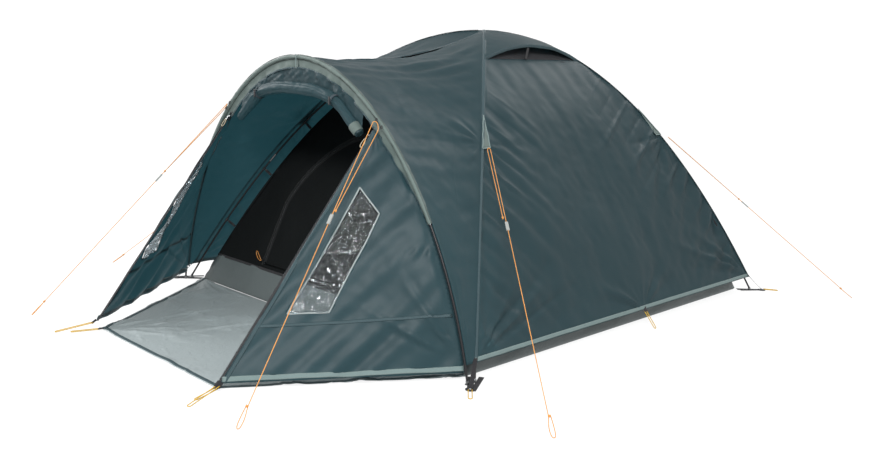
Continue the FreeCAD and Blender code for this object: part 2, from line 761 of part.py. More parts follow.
def roll_points():
    right = [V(x, roll_y, z) for x, z in ROLL_LINE]
    left = [V(-x, roll_y, z) for x, z in reversed(ROLL_LINE[1:])]
    return left + right


roll_edges, _ = cord_edges(roll_points())
roll = swept(roll_edges, s.roll_radius)
feature("door_roll", roll)

TIE_X = 250
TIE_WIDTH = 12
ties = []
for side in (RIGHT, LEFT):
    index = 2
    here = V(side * ROLL_LINE[index][0], roll_y, ROLL_LINE[index][1])
    before = V(side * ROLL_LINE[index - 1][0], roll_y, ROLL_LINE[index - 1][1])
    after = V(side * ROLL_LINE[index + 1][0], roll_y, ROLL_LINE[index + 1][1])
    way = (after - before).normalize()
    here = here + V(0, 0, -4)
    ties.append(tube(here - way * (TIE_WIDTH / 2), here + way * (TIE_WIDTH / 2),
                     s.roll_radius + 7, s.roll_radius + 5.5))
    toggle_at = here + V(0, -s.roll_radius - 11.2, 0)
    ties.append(rod(toggle_at - V(0, 0, 16), toggle_at + V(0, 0, 16), 4))
feature("door_ties", group(ties))

CRESCENT_HALF = 255
crescent_share = next(share for share in spread(0.0, 1.0, 400)
                      if arch_point(share, band_full + 1).x > CRESCENT_HALF)
crescent_line = spread(-crescent_share, crescent_share, 13)
crescent_edge = curve_edge([
    arch_point(abs(share), band_full + 1, RIGHT if share >= 0 else LEFT)
    for share in crescent_line])
crescent_ends = [vertex.Point for vertex in crescent_edge.Vertexes]
crescent = Part.Face(Part.Wire([crescent_edge, Part.makeLine(*crescent_ends)]))
crescent = crescent.extrude(V(0, s.cloth, 0))
keep_out = swept(roll_edges, s.roll_radius + 1.5)
feature("door_upper_panel", group([crescent.cut(keep_out)]))

# ------------------------------------------------------------- roof vents

MESH_DEPTH = s.cloth + 0.25
mesh_outer, mesh_inner = inside(FLY, MESH_DEPTH), inside(FLY, MESH_DEPTH + 0.8)
mesh = side_panel(mesh_outer, mesh_inner, vent_height - 14, FLY.z)
feature("vent_mesh", both_sides(mesh))

HOOD_ROWS = (0.04, 0.35, 0.7, 0.994)


def hood_row(along, drop):
    share = along * vent_share
    row = []
    for across in spread(-1.0, 1.0, 7):
        lift = s.vent_lift * along ** 2 * (1 - across ** 2)
        row.append(V(FLY.x * share, FLY.y * share * across,
                     FLY.z * (1 - share ** 2) + lift - drop))
    return row


hood = cloth_loft([hood_row(along, 0) for along in HOOD_ROWS],
                  [hood_row(along, s.cloth) for along in HOOD_ROWS])
prop_foot = V(FLY.x * vent_share + 9, -70, vent_height + 2)
prop_head = V(FLY.x * vent_share - 4, -40, vent_height + s.vent_lift - 14)
PROP_WIDTH, PROP_DEPTH = 15, 2
prop_way = prop_head - prop_foot
prop = oriented(slab(prop_way.Length, PROP_WIDTH, PROP_DEPTH),
                (prop_foot + prop_head) / 2, prop_way, V(1, 0, 0.1))
for side, name in SIDES:
    feature("vent_hood_" + name, hood if side == RIGHT else mirrored(hood))
    feature("vent_prop_" + name, prop if side == RIGHT else mirrored(prop))

# ------------------------------------------------------------- pole clips

CLIP_SHARES = (0.28, 0.45, 0.6, 0.74, 0.87)
CLIP_LENGTH = 14
clips = []
for pole_dome, side_x, side_y in ((lower_pole, -1, -1), (lower_pole, 1, 1),
                                  (POLE, -1, 1), (POLE, 1, -1)):
    for share in CLIP_SHARES:
        here = ridge_point(pole_dome, share, side_x, side_y)
        way = V(side_x * pole_dome.x, side_y * pole_dome.y,
                -2 * pole_dome.z * share).normalize()
        bore = pole_radius + 0.4
        half = way * (CLIP_LENGTH / 2)
        ring = tube(here - half, here + half, bore + 2, bore)
        target = ridge_point(INNER, share, side_x, side_y)
        reach = target - here
        reach = reach - way * reach.dot(way)
        start = here + V(reach).normalize() * (bore + 1)
        end = here + reach * 0.94
        strap = oriented(slab((end - start).Length, 12, 1.6), (start + end) / 2,
                         end - start, way.cross(reach))
        clips.append(ring.fuse(strap))
feature("pole_clips", group(clips))

# ------------------------------------------------- feet, webbing, eyelets

# Webbing plate at each corner, as (outwards in X, outwards in Y) from the
# corner of the bedroom floor.
PLATE = [(6, -24), (50, -24), (124, 66), (128, 98), (100, 114), (62, 96), (6, 14)]
PEG_OFFSET = (100, 86)
PIN_BORE = TIP_PIN + 1
corner_x, corner_y = s.bed_width / 2, s.bed_length / 2
dome_foot = ridge_point(POLE, share_at(POLE, TIP_HEIGHT), 1, 1)
hoop_foot = arch_point(arch_share_at(TIP_HEIGHT, s.sleeve_radius), s.sleeve_radius)
plates = []
eyelets = []
pin_eyelets = []


def add_plate(side_x, side_y, feet):
    def place(u, v, z):
        return V(side_x * (corner_x + u), side_y * (corner_y + v), z)

    plate = prism([place(u, v, 0) for u, v in PLATE], V(0, 0, s.cloth))
    peg = place(*PEG_OFFSET, 0)
    up = V(0, 0, 10)
    plate = plate.cut(rod(peg - up, peg + up, s.eyelet_bore + 1))
    for foot in feet:
        hole = V(side_x * foot.x, side_y * abs(foot.y), 0)
        plate = plate.cut(rod(hole - up, hole + up, PIN_BORE + 1))
        pin_eyelets.append(tube(hole + V(0, 0, s.cloth), hole + V(0, 0, s.cloth + 2),
                                PIN_BORE + 4, PIN_BORE))
    plates.append(plate)
    ring = doc.addObject("Part::Cylinder", "EyeletRing")
    ring.setExpression("Radius", "Sizes.eyelet_bore * 1 mm + 4 mm")
    bore = doc.addObject("Part::Cylinder", "EyeletBore")
    bore.setExpression("Radius", "Sizes.eyelet_bore * 1 mm")
    for piece in (ring, bore):
        piece.setExpression("Height", "Sizes.eyelet_height * 1 mm")
        piece.Placement = Placement(peg + V(0, 0, s.cloth), Rotation())
    eyelet = doc.addObject("Part::Cut", "PegEyelet")
    eyelet.Base = ring
    eyelet.Tool = bore
    eyelets.append(eyelet)


for side_x in (RIGHT, LEFT):
    add_plate(side_x, -1, [dome_foot, hoop_foot])
    add_plate(side_x, 1, [dome_foot])
feature("corner_webbing", group(plates))
doc.recompute()
eyelet_group = doc.addObject("Part::Compound", "peg_eyelets")
eyelet_group.Links = eyelets
keep(eyelet_group, "peg_eyelets")
feature("pole_eyelets", group(pin_eyelets))


# ------------------------------------------------------------- peg loops

LOOP_HALF = 7
LOOP_RADIUS = 1.6


def peg_loop(top, ground):
    """Two legs and a ground bar, kept apart as three straight pieces."""
    way = (ground - top).normalize()
    across = way.cross(V(0, 0, 1)).normalize() * LOOP_HALF
    shorter = way * (2 * LOOP_RADIUS + 0.2)
    legs = [rod(top + offset, ground + offset - shorter, LOOP_RADIUS)
            for offset in (across, across * -1)]
    bar = rod(ground + across * 1.3, ground - across * 1.3, LOOP_RADIUS)
    return legs + [bar]


ON_GROUND = LOOP_RADIUS + 0.2
hem_x = FLY.x * share_at(FLY, s.fly_hem)


def plate_corner(out_x, side_y, out_y, z):
    """A place beyond a corner of the bedroom floor, on the +X side."""
    return V(corner_x + out_x, side_y * (corner_y + out_y), z)


LOOPS = [(V(hem_x + 6, 61, s.fly_hem - 2), V(hem_x + 62, 61, ON_GROUND)),
         (plate_corner(110, -1, 100, 5.6), plate_corner(158, -1, 150, ON_GROUND)),
         (plate_corner(112, 1, 96, 5.6), plate_corner(158, 1, 140, ON_GROUND)),
         (door_edge_foot + V(5, -9, -4), door_edge_foot + V(48, -145, ON_GROUND - s.porch_hem)),
         (V(s.sheet_front_half + 6, front_y - 8, 2.2),
          V(s.sheet_front_half + 44, front_y - 105, ON_GROUND))]
loops = []
for top, ground in LOOPS:
    for piece in peg_loop(top, ground):
        loops += [piece, mirrored(piece)]
feature("peg_loops", group(loops))

# ------------------------------------------------------------- guylines

# Each route starts beside its runner, goes up to the tent, back down through
# the runner and ends as a knotted loop on the ground. (x, y, z) by hand.
ROUTES = {
    "front": [(589, -1366, 597), (516, -1110, 864), (500, -1101, 889), (487, -1110, 893),
              (761, -1839, 61), (778, -1860, 34), (785, -1884, 8), (772, -1889, 8),
              (761, -1866, 34), (756, -1841, 63)],
    "side": [(871, -807, 556), (624, -634, 776), (622, -627, 783), (632, -627, 780),
             (1408, -1169, 52), (1428, -1193, 29), (1453, -1206, 8), (1461, -1195, 8),
             (1438, -1177, 29), (1408, -1160, 54)],
    "rear": [(922, 913, 473), (632, 686, 764), (631, 678, 769), (640, 678, 764),
             (1336, 1243, 53), (1354, 1269, 29), (1377, 1285, 8), (1386, 1275, 8),
             (1365, 1255, 29), (1337, 1234, 55)],
}
MAIN_TOP, MAIN_FOOT = 3, 4
RUNNER_WIDTH, RUNNER_DEPTH = 12, 6
for place, route in ROUTES.items():
    for side, name in SIDES:
        points = [V(side * x, y, z) for x, y, z in route]
        cord("guyline_%s_%s" % (place, name), points, s.guy_diameter)
        top, foot = points[MAIN_TOP], points[MAIN_FOOT]
        way = (foot - top).normalize()
        tail = points[0]
        along_line = (tail - top).dot(way) + 12 + s.runner_length / 2
        centre = top + way * along_line
        box = doc.addObject("Part::Box", "RunnerBar")
        box.setExpression("Length", "Sizes.runner_length * 1 mm")
        box.Width, box.Height = RUNNER_WIDTH, RUNNER_DEPTH
        box.Placement = Placement(V(-s.runner_length / 2, -RUNNER_WIDTH / 2,
                                    -RUNNER_DEPTH / 2), Rotation())
        hole = doc.addObject("Part::Cylinder", "RunnerHole")
        hole.setExpression("Radius", "Sizes.runner_bore * 0.5 mm")
        hole.setExpression("Height", "Sizes.runner_length * 2 mm")
        hole.Placement = Placement(V(-s.runner_length, 0, 0), Rotation(V(0, 1, 0), 90))
        runner = doc.addObject("Part::Cut", "runner_%s_%s" % (place, name))
        runner.Base, runner.Tool = box, hole
        level = way.cross(V(0, 0, 1)).normalize()
        runner.Placement = Placement(centre, Rotation(way, level, level.cross(way) * -1, "XYZ"))
        keep(runner, "runner_%s_%s" % (place, name))

tab_shares = (0.53, 0.615)
tabs = []
for side_y in (-1, 1):
    apex = ridge_point(FLY, tab_shares[0], 1, side_y)
    base = ridge_point(FLY, tab_shares[1], 1, side_y)
    inboard = base + V(0, -side_y * 46, 0)
    lift = V(3, side_y * 1.5, 2)
    tabs.append(prism([apex + lift, base + lift, inboard + lift], V(1.2, 0, 0.9)))
feature("guy_tabs", group([both_sides(tab) for tab in tabs]))
arch_loops = []
for height in (872, 897):
    point = arch_point(arch_share_at(height, s.sleeve_radius), s.sleeve_radius, RIGHT,
                       s.sleeve_radius + 4.3)
    arch_loops.append(Part.makeBox(10, 4, 10, point - V(5, 2, 5)))
feature("arch_guy_loops", group([both_sides(loop) for loop in arch_loops]))

# ------------------------------------------------------------- zip pulls

# Looped cords through the slider tabs: (across, down the zip, away from the door)
# from the tab's hole, and (x, y, z) for the bedroom door's.
PULL_ROUTE = [(3, 2, -0.5), (8, 14, -2), (9, 28, -3), (4, 38, -3), (-4, 38, -3),
              (-9, 28, -3), (-8, 14, -2), (-3, 2, -0.5)]
INNER_PULL_ROUTE = [(-3, -5, -2), (-9, -8, -6), (-22, -12, 6), (-35, -12, 26),
                    (-33, -11, 40), (-23, -10, 36), (-12, -10, 16), (1, -9, 2)]
PULL_DIAMETER = 2.5
tab_hole = slider_place + door_way * 10 + door_face * (slider_depth / 2 + 5)
for side, name in SIDES:
    route = [tab_hole + V(across, 0, 0) + door_way * down + door_face * away
             for across, down, away in PULL_ROUTE]
    cord("zip_pull_" + name, [V(side * p.x, p.y, p.z) for p in route], PULL_DIAMETER)
inner_tab = inner_slider_from - inner_slider_way * 8 + inner_front_way * 6
cord("inner_zip_pull", [inner_tab + V(*offset) for offset in INNER_PULL_ROUTE],
     PULL_DIAMETER)

# ------------------------------------------------------------- write files

doc.recompute()
for obj in doc.Objects:
    if "Invalid" in obj.State or "Error" in obj.State:
        raise RuntimeError("%s did not compute: %s" % (obj.Label, obj.State))
labels = [part.Label for part in parts]
if len(set(labels)) != len(labels):
    raise RuntimeError("two sub-parts share a name")
for part in parts:
    if part.Shape.isNull() or not part.Shape.isValid():
        raise RuntimeError("%s has no valid shape" % part.Label)
os.makedirs("parts", exist_ok=True)
for part in parts:
    part.Shape.exportStep("parts/%s.step" % part.Label)
print("%d sub-parts written" % len(parts))
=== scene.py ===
import math

import bpy
import numpy as np
from mathutils import Matrix, Vector
from mathutils.geometry import delaunay_2d_cdt


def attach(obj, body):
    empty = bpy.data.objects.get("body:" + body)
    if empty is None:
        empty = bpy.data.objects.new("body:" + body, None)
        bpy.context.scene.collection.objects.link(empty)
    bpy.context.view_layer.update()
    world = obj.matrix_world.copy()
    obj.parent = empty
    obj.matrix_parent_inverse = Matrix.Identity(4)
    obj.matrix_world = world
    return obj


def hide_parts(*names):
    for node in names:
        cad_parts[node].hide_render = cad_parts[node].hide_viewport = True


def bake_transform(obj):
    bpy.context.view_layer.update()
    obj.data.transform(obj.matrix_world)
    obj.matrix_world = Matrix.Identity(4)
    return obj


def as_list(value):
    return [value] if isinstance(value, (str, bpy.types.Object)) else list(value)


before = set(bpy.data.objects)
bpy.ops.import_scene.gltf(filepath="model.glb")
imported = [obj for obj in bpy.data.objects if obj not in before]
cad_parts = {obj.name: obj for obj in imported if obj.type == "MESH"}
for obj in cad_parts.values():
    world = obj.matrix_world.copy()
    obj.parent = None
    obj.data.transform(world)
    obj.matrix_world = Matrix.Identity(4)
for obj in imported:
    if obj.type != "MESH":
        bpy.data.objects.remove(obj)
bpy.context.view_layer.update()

RIGHT, LEFT = 1, -1
SIDES = ((RIGHT, "right"), (LEFT, "left"))
ROOT = "tent"
CLOTH = 0.0012  # thickness of the flysheet and the inner tent, in metres

# ------------------------------------------------------------- camera

SENSOR, FOCAL = 36.0, 37.755
CAMERA_AT = np.array([3.0593, -3.3428, 1.1681])
CAMERA_TO = np.array([-0.939, 0.709, 0.0])
ROLL = math.radians(1.903)

cam_data = bpy.data.cameras.new("camera")
cam_data.sensor_width, cam_data.lens = SENSOR, FOCAL
cam_data.clip_start, cam_data.clip_end = 0.05, 60
camera = bpy.data.objects.new("camera", cam_data)
bpy.context.scene.collection.objects.link(camera)
ahead = (CAMERA_TO - CAMERA_AT) / np.linalg.norm(CAMERA_TO - CAMERA_AT)
level = np.cross(ahead, (0, 0, 1))
level /= np.linalg.norm(level)
over = np.cross(level, ahead)
cam_x = level * math.cos(ROLL) + over * math.sin(ROLL)
cam_y = over * math.cos(ROLL) - level * math.sin(ROLL)
camera.matrix_world = Matrix([
    [cam_x[i], cam_y[i], -ahead[i], CAMERA_AT[i]] for i in range(3)] + [[0, 0, 0, 1]])
bpy.context.scene.camera = camera

# ------------------------------------------------------------- materials


def new_material(name):
    mat = bpy.data.materials.new(name)
    mat.use_nodes = True
    mat.node_tree.nodes.clear()
    out = mat.node_tree.nodes.new("ShaderNodeOutputMaterial")
    return mat, mat.node_tree.nodes, mat.node_tree.links, out


def set_inputs(node, **values):
    for key, value in values.items():
        node.inputs[key.replace("_", " ")].default_value = value
    return node


def math_node(nodes, links, kind, a, b=None, clamp=False):
    node = nodes.new("ShaderNodeMath")
    node.operation = kind
    node.use_clamp = clamp
    for index, value in enumerate((a, b)):
        if value is None:
            continue
        if isinstance(value, (int, float)):
            node.inputs[index].default_value = value
        else:
            links.new(value, node.inputs[index])
    return node.outputs[0]


def mix_surfaces(nodes, links, out, share, first, second):
    """The second surface over the first, by a number or a socket."""
    blend = nodes.new("ShaderNodeMixShader")
    if isinstance(share, float):
        blend.inputs["Fac"].default_value = share
    else:
        links.new(share, blend.inputs["Fac"])
    links.new(first, blend.inputs[1])
    links.new(second, blend.inputs[2])
    links.new(blend.outputs["Shader"], out.inputs["Surface"])


def tint(nodes, links, shader, share, under, color):
    """Base colour: under, turned towards a fixed colour by share."""
    mixed = nodes.new("ShaderNodeMix")
    mixed.data_type = "RGBA"
    links.new(share, mixed.inputs[0])
    links.new(under, mixed.inputs[6])
    mixed.inputs[7].default_value = color
    links.new(mixed.outputs[2], shader.inputs["Base Color"])


def wave(nodes, links, along, pitch):
    """A sine over metres."""
    return math_node(nodes, links, "SINE",
                     math_node(nodes, links, "MULTIPLY", along, 2 * math.pi / pitch))


def cloth_sides(nodes, links):
    """The two distances along a cloth or a tape."""
    split = nodes.new("ShaderNodeSeparateXYZ")
    links.new(nodes.new("ShaderNodeTexCoord").outputs["UV"], split.inputs[0])
    return split.outputs


def shade(color, factor):
    return (color[0] * factor, color[1] * factor, color[2] * factor, 1)


def base_setup(name, color, rough, mottle=0.10, mottle_scale=7.0, **sockets):
    """A principled shader whose colour drifts a little over the surface."""
    mat, nodes, links, out = new_material(name)
    shader = nodes.new("ShaderNodeBsdfPrincipled")
    shader.inputs["Roughness"].default_value = rough
    for key, value in sockets.items():
        shader.inputs[key.replace("_", " ")].default_value = value
    place = nodes.new("ShaderNodeTexCoord").outputs["Object"]
    noise = set_inputs(nodes.new("ShaderNodeTexNoise"), Scale=mottle_scale, Detail=5.0)
    links.new(place, noise.inputs["Vector"])
    ramp = nodes.new("ShaderNodeMix")
    ramp.data_type = "RGBA"
    ramp.inputs[6].default_value = shade(color, 1 - mottle)
    ramp.inputs[7].default_value = shade(color, 1 + mottle)
    links.new(noise.outputs["Fac"], ramp.inputs[0])
    links.new(ramp.outputs[2], shader.inputs["Base Color"])
    links.new(shader.outputs["BSDF"], out.inputs["Surface"])
    return mat, nodes, links, out, shader, place, ramp


def add_bump(nodes, links, shader, height, strength, distance, below=None):
    bump = nodes.new("ShaderNodeBump")
    set_inputs(bump, Strength=strength, Distance=distance)
    links.new(height, bump.inputs["Height"])
    if below is not None:
        links.new(below, bump.inputs["Normal"])
    links.new(bump.outputs["Normal"], shader.inputs["Normal"])
    return bump.outputs["Normal"]


def weave_height(nodes, links, pitch):
    """Over-and-under threads along the cloth's own length and width."""
    sides = cloth_sides(nodes, links)
    return math_node(nodes, links, "MULTIPLY", *(wave(nodes, links, sides[axis], pitch)
                                                 for axis in (0, 1)))


def cloth_material(name, color, rough=0.55, glow=0.0, pitch=0.0016, weave=0.12,
                   crumple=0.25, mottle=0.07, sheen=0.25, shine=0.28, glow_color=None):
    """Woven cloth: thread bump, small crumples, sheen and some light through it."""
    mat, nodes, links, out, shader, place, _ = base_setup(name, color, rough, mottle)
    set_inputs(shader, Specular_IOR_Level=shine, Sheen_Weight=sheen, Sheen_Roughness=0.45)
    threads = weave_height(nodes, links, pitch)
    small = set_inputs(nodes.new("ShaderNodeTexNoise"), Scale=26.0, Detail=4.0, Roughness=0.55,
                       Distortion=0.6)
    links.new(place, small.inputs["Vector"])
    soft = add_bump(nodes, links, shader, small.outputs["Fac"], crumple, 0.006)
    add_bump(nodes, links, shader, threads, weave, 0.0003, soft)
    if glow:
        through = nodes.new("ShaderNodeBsdfTranslucent")
        through.inputs["Color"].default_value = (*(glow_color or color), 1)
        mix_surfaces(nodes, links, out, glow, shader.outputs["BSDF"], through.outputs["BSDF"])
    return mat


RIB_PITCH, STITCH_PITCH = 0.0022, 0.0042


def ribbon_material(name, color, rough=0.6, stitch=None, rows=(0.16, 0.84), twill=0.5):
    """Woven tape: ribs across it and rows of stitches.

    U runs along the tape in metres, V across it from 0 to 1."""
    mat, nodes, links, _, shader, _, ramp = base_setup(name, color, rough, 0.08, 30.0)
    set_inputs(shader, Specular_IOR_Level=0.25, Sheen_Weight=0.03)
    along, across = cloth_sides(nodes, links)[:2]
    ribs = wave(nodes, links, along, RIB_PITCH)
    height = ribs
    if stitch:
        dash = math_node(nodes, links, "GREATER_THAN", wave(nodes, links, along, STITCH_PITCH),
                         -0.35)
        total = None
        for row in rows:
            away = math_node(nodes, links, "ABSOLUTE",
                             math_node(nodes, links, "SUBTRACT", across, row))
            near = math_node(nodes, links, "LESS_THAN", away, 0.035)
            total = near if total is None else math_node(nodes, links, "ADD", total, near,
                                                         True)
        thread = math_node(nodes, links, "MULTIPLY", total, dash)
        tint(nodes, links, shader, thread, ramp.outputs[2], (*stitch, 1))
        height = math_node(nodes, links, "ADD", ribs,
                           math_node(nodes, links, "MULTIPLY", thread, 4.0))
    add_bump(nodes, links, shader, height, twill, 0.0004)
    return mat


def hard_material(name, color, rough, metal=0.0, coat=0.0, bump=0.08, scale=160.0,
                  mottle=0.06, **sockets):
    """Plastic, metal or lacquer with fine wear."""
    mat, nodes, links, _, shader, place, _ = base_setup(name, color, rough, mottle, 40.0,
                                                        **sockets)
    set_inputs(shader, Metallic=metal, Coat_Weight=coat, Coat_Roughness=0.15)
    grain = set_inputs(nodes.new("ShaderNodeTexNoise"), Scale=scale, Detail=3.0)
    links.new(place, grain.inputs["Vector"])
    wear = nodes.new("ShaderNodeMapRange")
    set_inputs(wear, To_Min=rough * 0.75, To_Max=min(1.0, rough * 1.3))
    links.new(grain.outputs["Fac"], wear.inputs["Value"])
    links.new(wear.outputs["Result"], shader.inputs["Roughness"])
    add_bump(nodes, links, shader, grain.outputs["Fac"], bump, 0.0005)
    return mat


def braid_material(name, color, fleck, rough=0.6):
    """Braided cord with flecks of a second thread."""
    mat, nodes, links, _, shader, place, ramp = base_setup(name, color, rough, 0.12, 60.0)
    shader.inputs["Sheen Weight"].default_value = 0.3
    cells = set_inputs(nodes.new("ShaderNodeTexVoronoi"), Scale=620.0)
    links.new(place, cells.inputs["Vector"])
    spots = math_node(nodes, links, "LESS_THAN", cells.outputs["Distance"], 0.22)
    tint(nodes, links, shader, spots, ramp.outputs[2], (*fleck, 1))
    add_bump(nodes, links, shader, cells.outputs["Distance"], 0.6, 0.0006)
    return mat


def film_material(name):
    """Clear soft PVC: see-through, with sharp glints along its crinkles."""
    mat, nodes, links, out = new_material(name)
    clear = nodes.new("ShaderNodeBsdfTransparent")
    clear.inputs["Color"].default_value = (0.90, 0.93, 0.94, 1)
    gloss = nodes.new("ShaderNodeBsdfGlossy")
    set_inputs(gloss, Color=(0.90, 0.94, 0.96, 1), Roughness=0.07)
    place = nodes.new("ShaderNodeTexCoord").outputs["Object"]
    turned = nodes.new("ShaderNodeMapping")
    set_inputs(turned, Scale=(5.0, 5.0, 62.0), Rotation=(0.10, 0.0, 0.0))
    links.new(place, turned.inputs["Vector"])
    fold = set_inputs(nodes.new("ShaderNodeTexNoise"), Scale=1.0, Detail=3.0, Roughness=0.55,
                      Distortion=1.1)
    links.new(turned.outputs["Vector"], fold.inputs["Vector"])
    add_bump(nodes, links, gloss, fold.outputs["Fac"], 0.9, 0.016)
    rim = nodes.new("ShaderNodeFresnel")
    rim.inputs["IOR"].default_value = 1.45
    share = math_node(nodes, links, "MULTIPLY", rim.outputs["Fac"], 0.9, True)
    mix_surfaces(nodes, links, out, share, clear.outputs["BSDF"], gloss.outputs["BSDF"])
    return mat


def net_material(name):
    """Fine black netting: round holes in a dark cloth."""
    mat, nodes, links, out, shader, _, _ = base_setup(name, (0.012, 0.012, 0.014), 0.8)
    uv = nodes.new("ShaderNodeTexCoord").outputs["UV"]
    cells = set_inputs(nodes.new("ShaderNodeTexVoronoi"), Scale=420.0)
    links.new(uv, cells.inputs["Vector"])
    hole = math_node(nodes, links, "LESS_THAN", cells.outputs["Distance"], 0.33)
    clear = nodes.new("ShaderNodeBsdfTransparent")
    mix_surfaces(nodes, links, out, hole, shader.outputs["BSDF"], clear.outputs["BSDF"])
    return mat


def sheet_material(name, color, rough, pitch):
    """Coated woven polyethylene: flat tapes over and under, and a satin coat."""
    mat, nodes, links, _, shader, place, ramp = base_setup(name, color, rough, 0.10, 5.0)
    sides = cloth_sides(nodes, links)
    grid = math_node(nodes, links, "MAXIMUM", *(
        math_node(nodes, links, "ABSOLUTE", wave(nodes, links, sides[axis], pitch))
        for axis in (0, 1)))
    crinkle = set_inputs(nodes.new("ShaderNodeTexNoise"), Scale=30.0, Detail=6.0,
                         Roughness=0.65, Distortion=0.9)
    links.new(place, crinkle.inputs["Vector"])
    shader.inputs["Specular IOR Level"].default_value = 0.35
    soft = add_bump(nodes, links, shader, crinkle.outputs["Fac"], 0.35, 0.008)
    add_bump(nodes, links, shader, grid, 0.35, 0.0006, soft)
    set_inputs(shader, Coat_Weight=0.15, Coat_Roughness=0.35)
    tint(nodes, links, shader, math_node(nodes, links, "MULTIPLY", grid, 0.35),
         ramp.outputs[2], shade(color, 1.35))
    return mat


FLY_COLOR = (0.0195, 0.0420, 0.0490)
SAGE = (0.068, 0.092, 0.085)
M = {
    "fly": cloth_material("fly_cloth", FLY_COLOR, 0.48, 0.40, crumple=0.06, sheen=0.02,
                          shine=0.24, glow_color=(0.170, 0.350, 0.390)),
    "sage": cloth_material("sage_cloth", SAGE, 0.62, 0.05, crumple=0.08, sheen=0.05),
    "sleeve": cloth_material("sleeve_cloth", SAGE, 0.60, crumple=0.08, sheen=0.05),
    "inner": cloth_material("inner_cloth", (0.0052, 0.0060, 0.0062), 0.80, 0.0, crumple=0.12,
                            sheen=0.0, shine=0.08),
    "tub": sheet_material("tub_cloth", (0.078, 0.092, 0.092), 0.55, 0.0042),
    "ground": sheet_material("ground_cloth", (0.200, 0.228, 0.232), 0.40, 0.0050),
    "net": net_material("vent_net"),
    "film": film_material("window_film"),
    "seam": ribbon_material("seam_tape", shade(FLY_COLOR, 0.9)[:3], 0.5, (0.040, 0.060, 0.065)),
    "hem": ribbon_material("hem_tape", (0.098, 0.138, 0.136), 0.55, (0.17, 0.21, 0.20)),
    "piping": ribbon_material("sleeve_piping", shade(SAGE, 0.72)[:3], 0.6, shade(SAGE, 1.2)[:3]),
    "trim": ribbon_material("window_trim", (0.17, 0.20, 0.20), 0.5, (0.28, 0.31, 0.31)),
    "web": ribbon_material("black_webbing", (0.012, 0.012, 0.014), 0.7, (0.05, 0.05, 0.05),
                           (0.12, 0.88), 0.9),
    "inner_tape": ribbon_material("inner_tape", (0.0052, 0.0058, 0.0060), 0.8, None, (), 0.4),
    "yellow": ribbon_material("yellow_tape", (0.46, 0.275, 0.012), 0.6, None, (), 0.9),
    "orange": braid_material("orange_braid", (0.42, 0.155, 0.006), (0.50, 0.32, 0.10)),
    "cream": braid_material("cream_braid", (0.30, 0.25, 0.16), (0.42, 0.38, 0.28)),
    "elastic": braid_material("elastic_braid", (0.15, 0.15, 0.15), (0.03, 0.03, 0.03)),
    "tie": ribbon_material("tie_elastic", (0.018, 0.030, 0.038), 0.6, (0.06, 0.08, 0.09),
                           (0.5,), 0.9),
    "pole": hard_material("pole_fibreglass", (0.008, 0.008, 0.009), 0.42, 0.0, 0.0, 0.05,
                          90.0, Specular_IOR_Level=0.3),
    "steel": hard_material("steel", (0.17, 0.175, 0.18), 0.38, 1.0, 0.0, 0.10, 300.0),
    "zip": hard_material("zip_nylon", (0.016, 0.020, 0.024), 0.45, 0.0, 0.1, 0.3, 500.0),
    "slider": hard_material("slider_enamel", (0.020, 0.024, 0.028), 0.35, 0.5, 0.4),
    "runner": hard_material("runner_plastic", (0.20, 0.21, 0.20), 0.38, 0.0, 0.1),
    "black": hard_material("black_plastic", (0.012, 0.012, 0.013), 0.42, 0.0, 0.15),
}

# ------------------------------------------------------------- mesh tools


def normalised(vectors):
    size = np.linalg.norm(vectors, axis=-1, keepdims=True)
    return vectors / np.maximum(size, 1e-12)


def grid_faces(rows, columns, wrap=False):
    """Quads over a grid of points, closed round its columns if wrap."""
    i, j = np.meshgrid(np.arange(rows - 1), np.arange(columns - (0 if wrap else 1)),
                       indexing="ij")
    k = (j + 1) % columns
    return np.stack([i * columns + j, i * columns + k, (i + 1) * columns + k,
                     (i + 1) * columns + j], -1).reshape(-1, 4)


def vertex_normals(points, faces):
    """Averaged face normals of a mesh of quads or triangles."""
    a, b, c = (points[faces[:, i]] for i in (0, 1, 2))
    d = points[faces[:, -1]]
    face = np.cross(c - a, d - b) if faces.shape[1] == 4 else np.cross(b - a, c - a)
    total = np.zeros_like(points)
    for corner in range(faces.shape[1]):
        np.add.at(total, faces[:, corner], face)
    return normalised(total)


def make_mesh(name, points, faces, material, uv=None):
    mesh = bpy.data.meshes.new(name)
    mesh.from_pydata(np.asarray(points, float).tolist(), [],
                     [list(map(int, f)) for f in faces])
    if uv is not None:
        layer = mesh.uv_layers.new(name="UVMap")
        order = np.zeros(len(mesh.loops), int)
        mesh.loops.foreach_get("vertex_index", order)
        layer.data.foreach_set("uv", np.asarray(uv, np.float32)[order].ravel())
    mesh.materials.append(material)
    mesh.polygons.foreach_set("use_smooth", [True] * len(mesh.polygons))
    obj = bpy.data.objects.new(name, mesh)
    bpy.context.scene.collection.objects.link(obj)
    return obj


def thicken(obj, thickness):
    mod = obj.modifiers.new("thickness", "SOLIDIFY")
    mod.thickness = thickness
    mod.offset = 0
    return obj


def finish_piece(obj, body=ROOT, stands_for=()):
    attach(obj, body)
    if stands_for:
        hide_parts(*stands_for)
    return obj


class Waves:
    """Smooth random height over space, the same every time for a seed."""

    def __init__(self, seed, size, count=26, stretch=(1, 1, 1)):
        rng = np.random.default_rng(seed)
        ways = normalised(rng.normal(size=(count, 3)))
        reach = 2 * math.pi / size * rng.uniform(0.55, 1.45, (count, 1))
        self.waves = ways * reach / np.array(stretch)
        self.phase = rng.uniform(0, 2 * math.pi, count)
        self.scale = math.sqrt(2 / count)

    def __call__(self, points):
        flat = points.reshape(-1, 3)
        height = np.cos(flat @ self.waves.T + self.phase).sum(1) * self.scale
        return height.reshape(points.shape[:-1])


def creases(points, seed, size, sharp=0.25):
    """Thin raised lines where a smooth height crosses zero, as in packed cloth."""
    return np.exp(-(Waves(seed, size)(points) / sharp) ** 2)


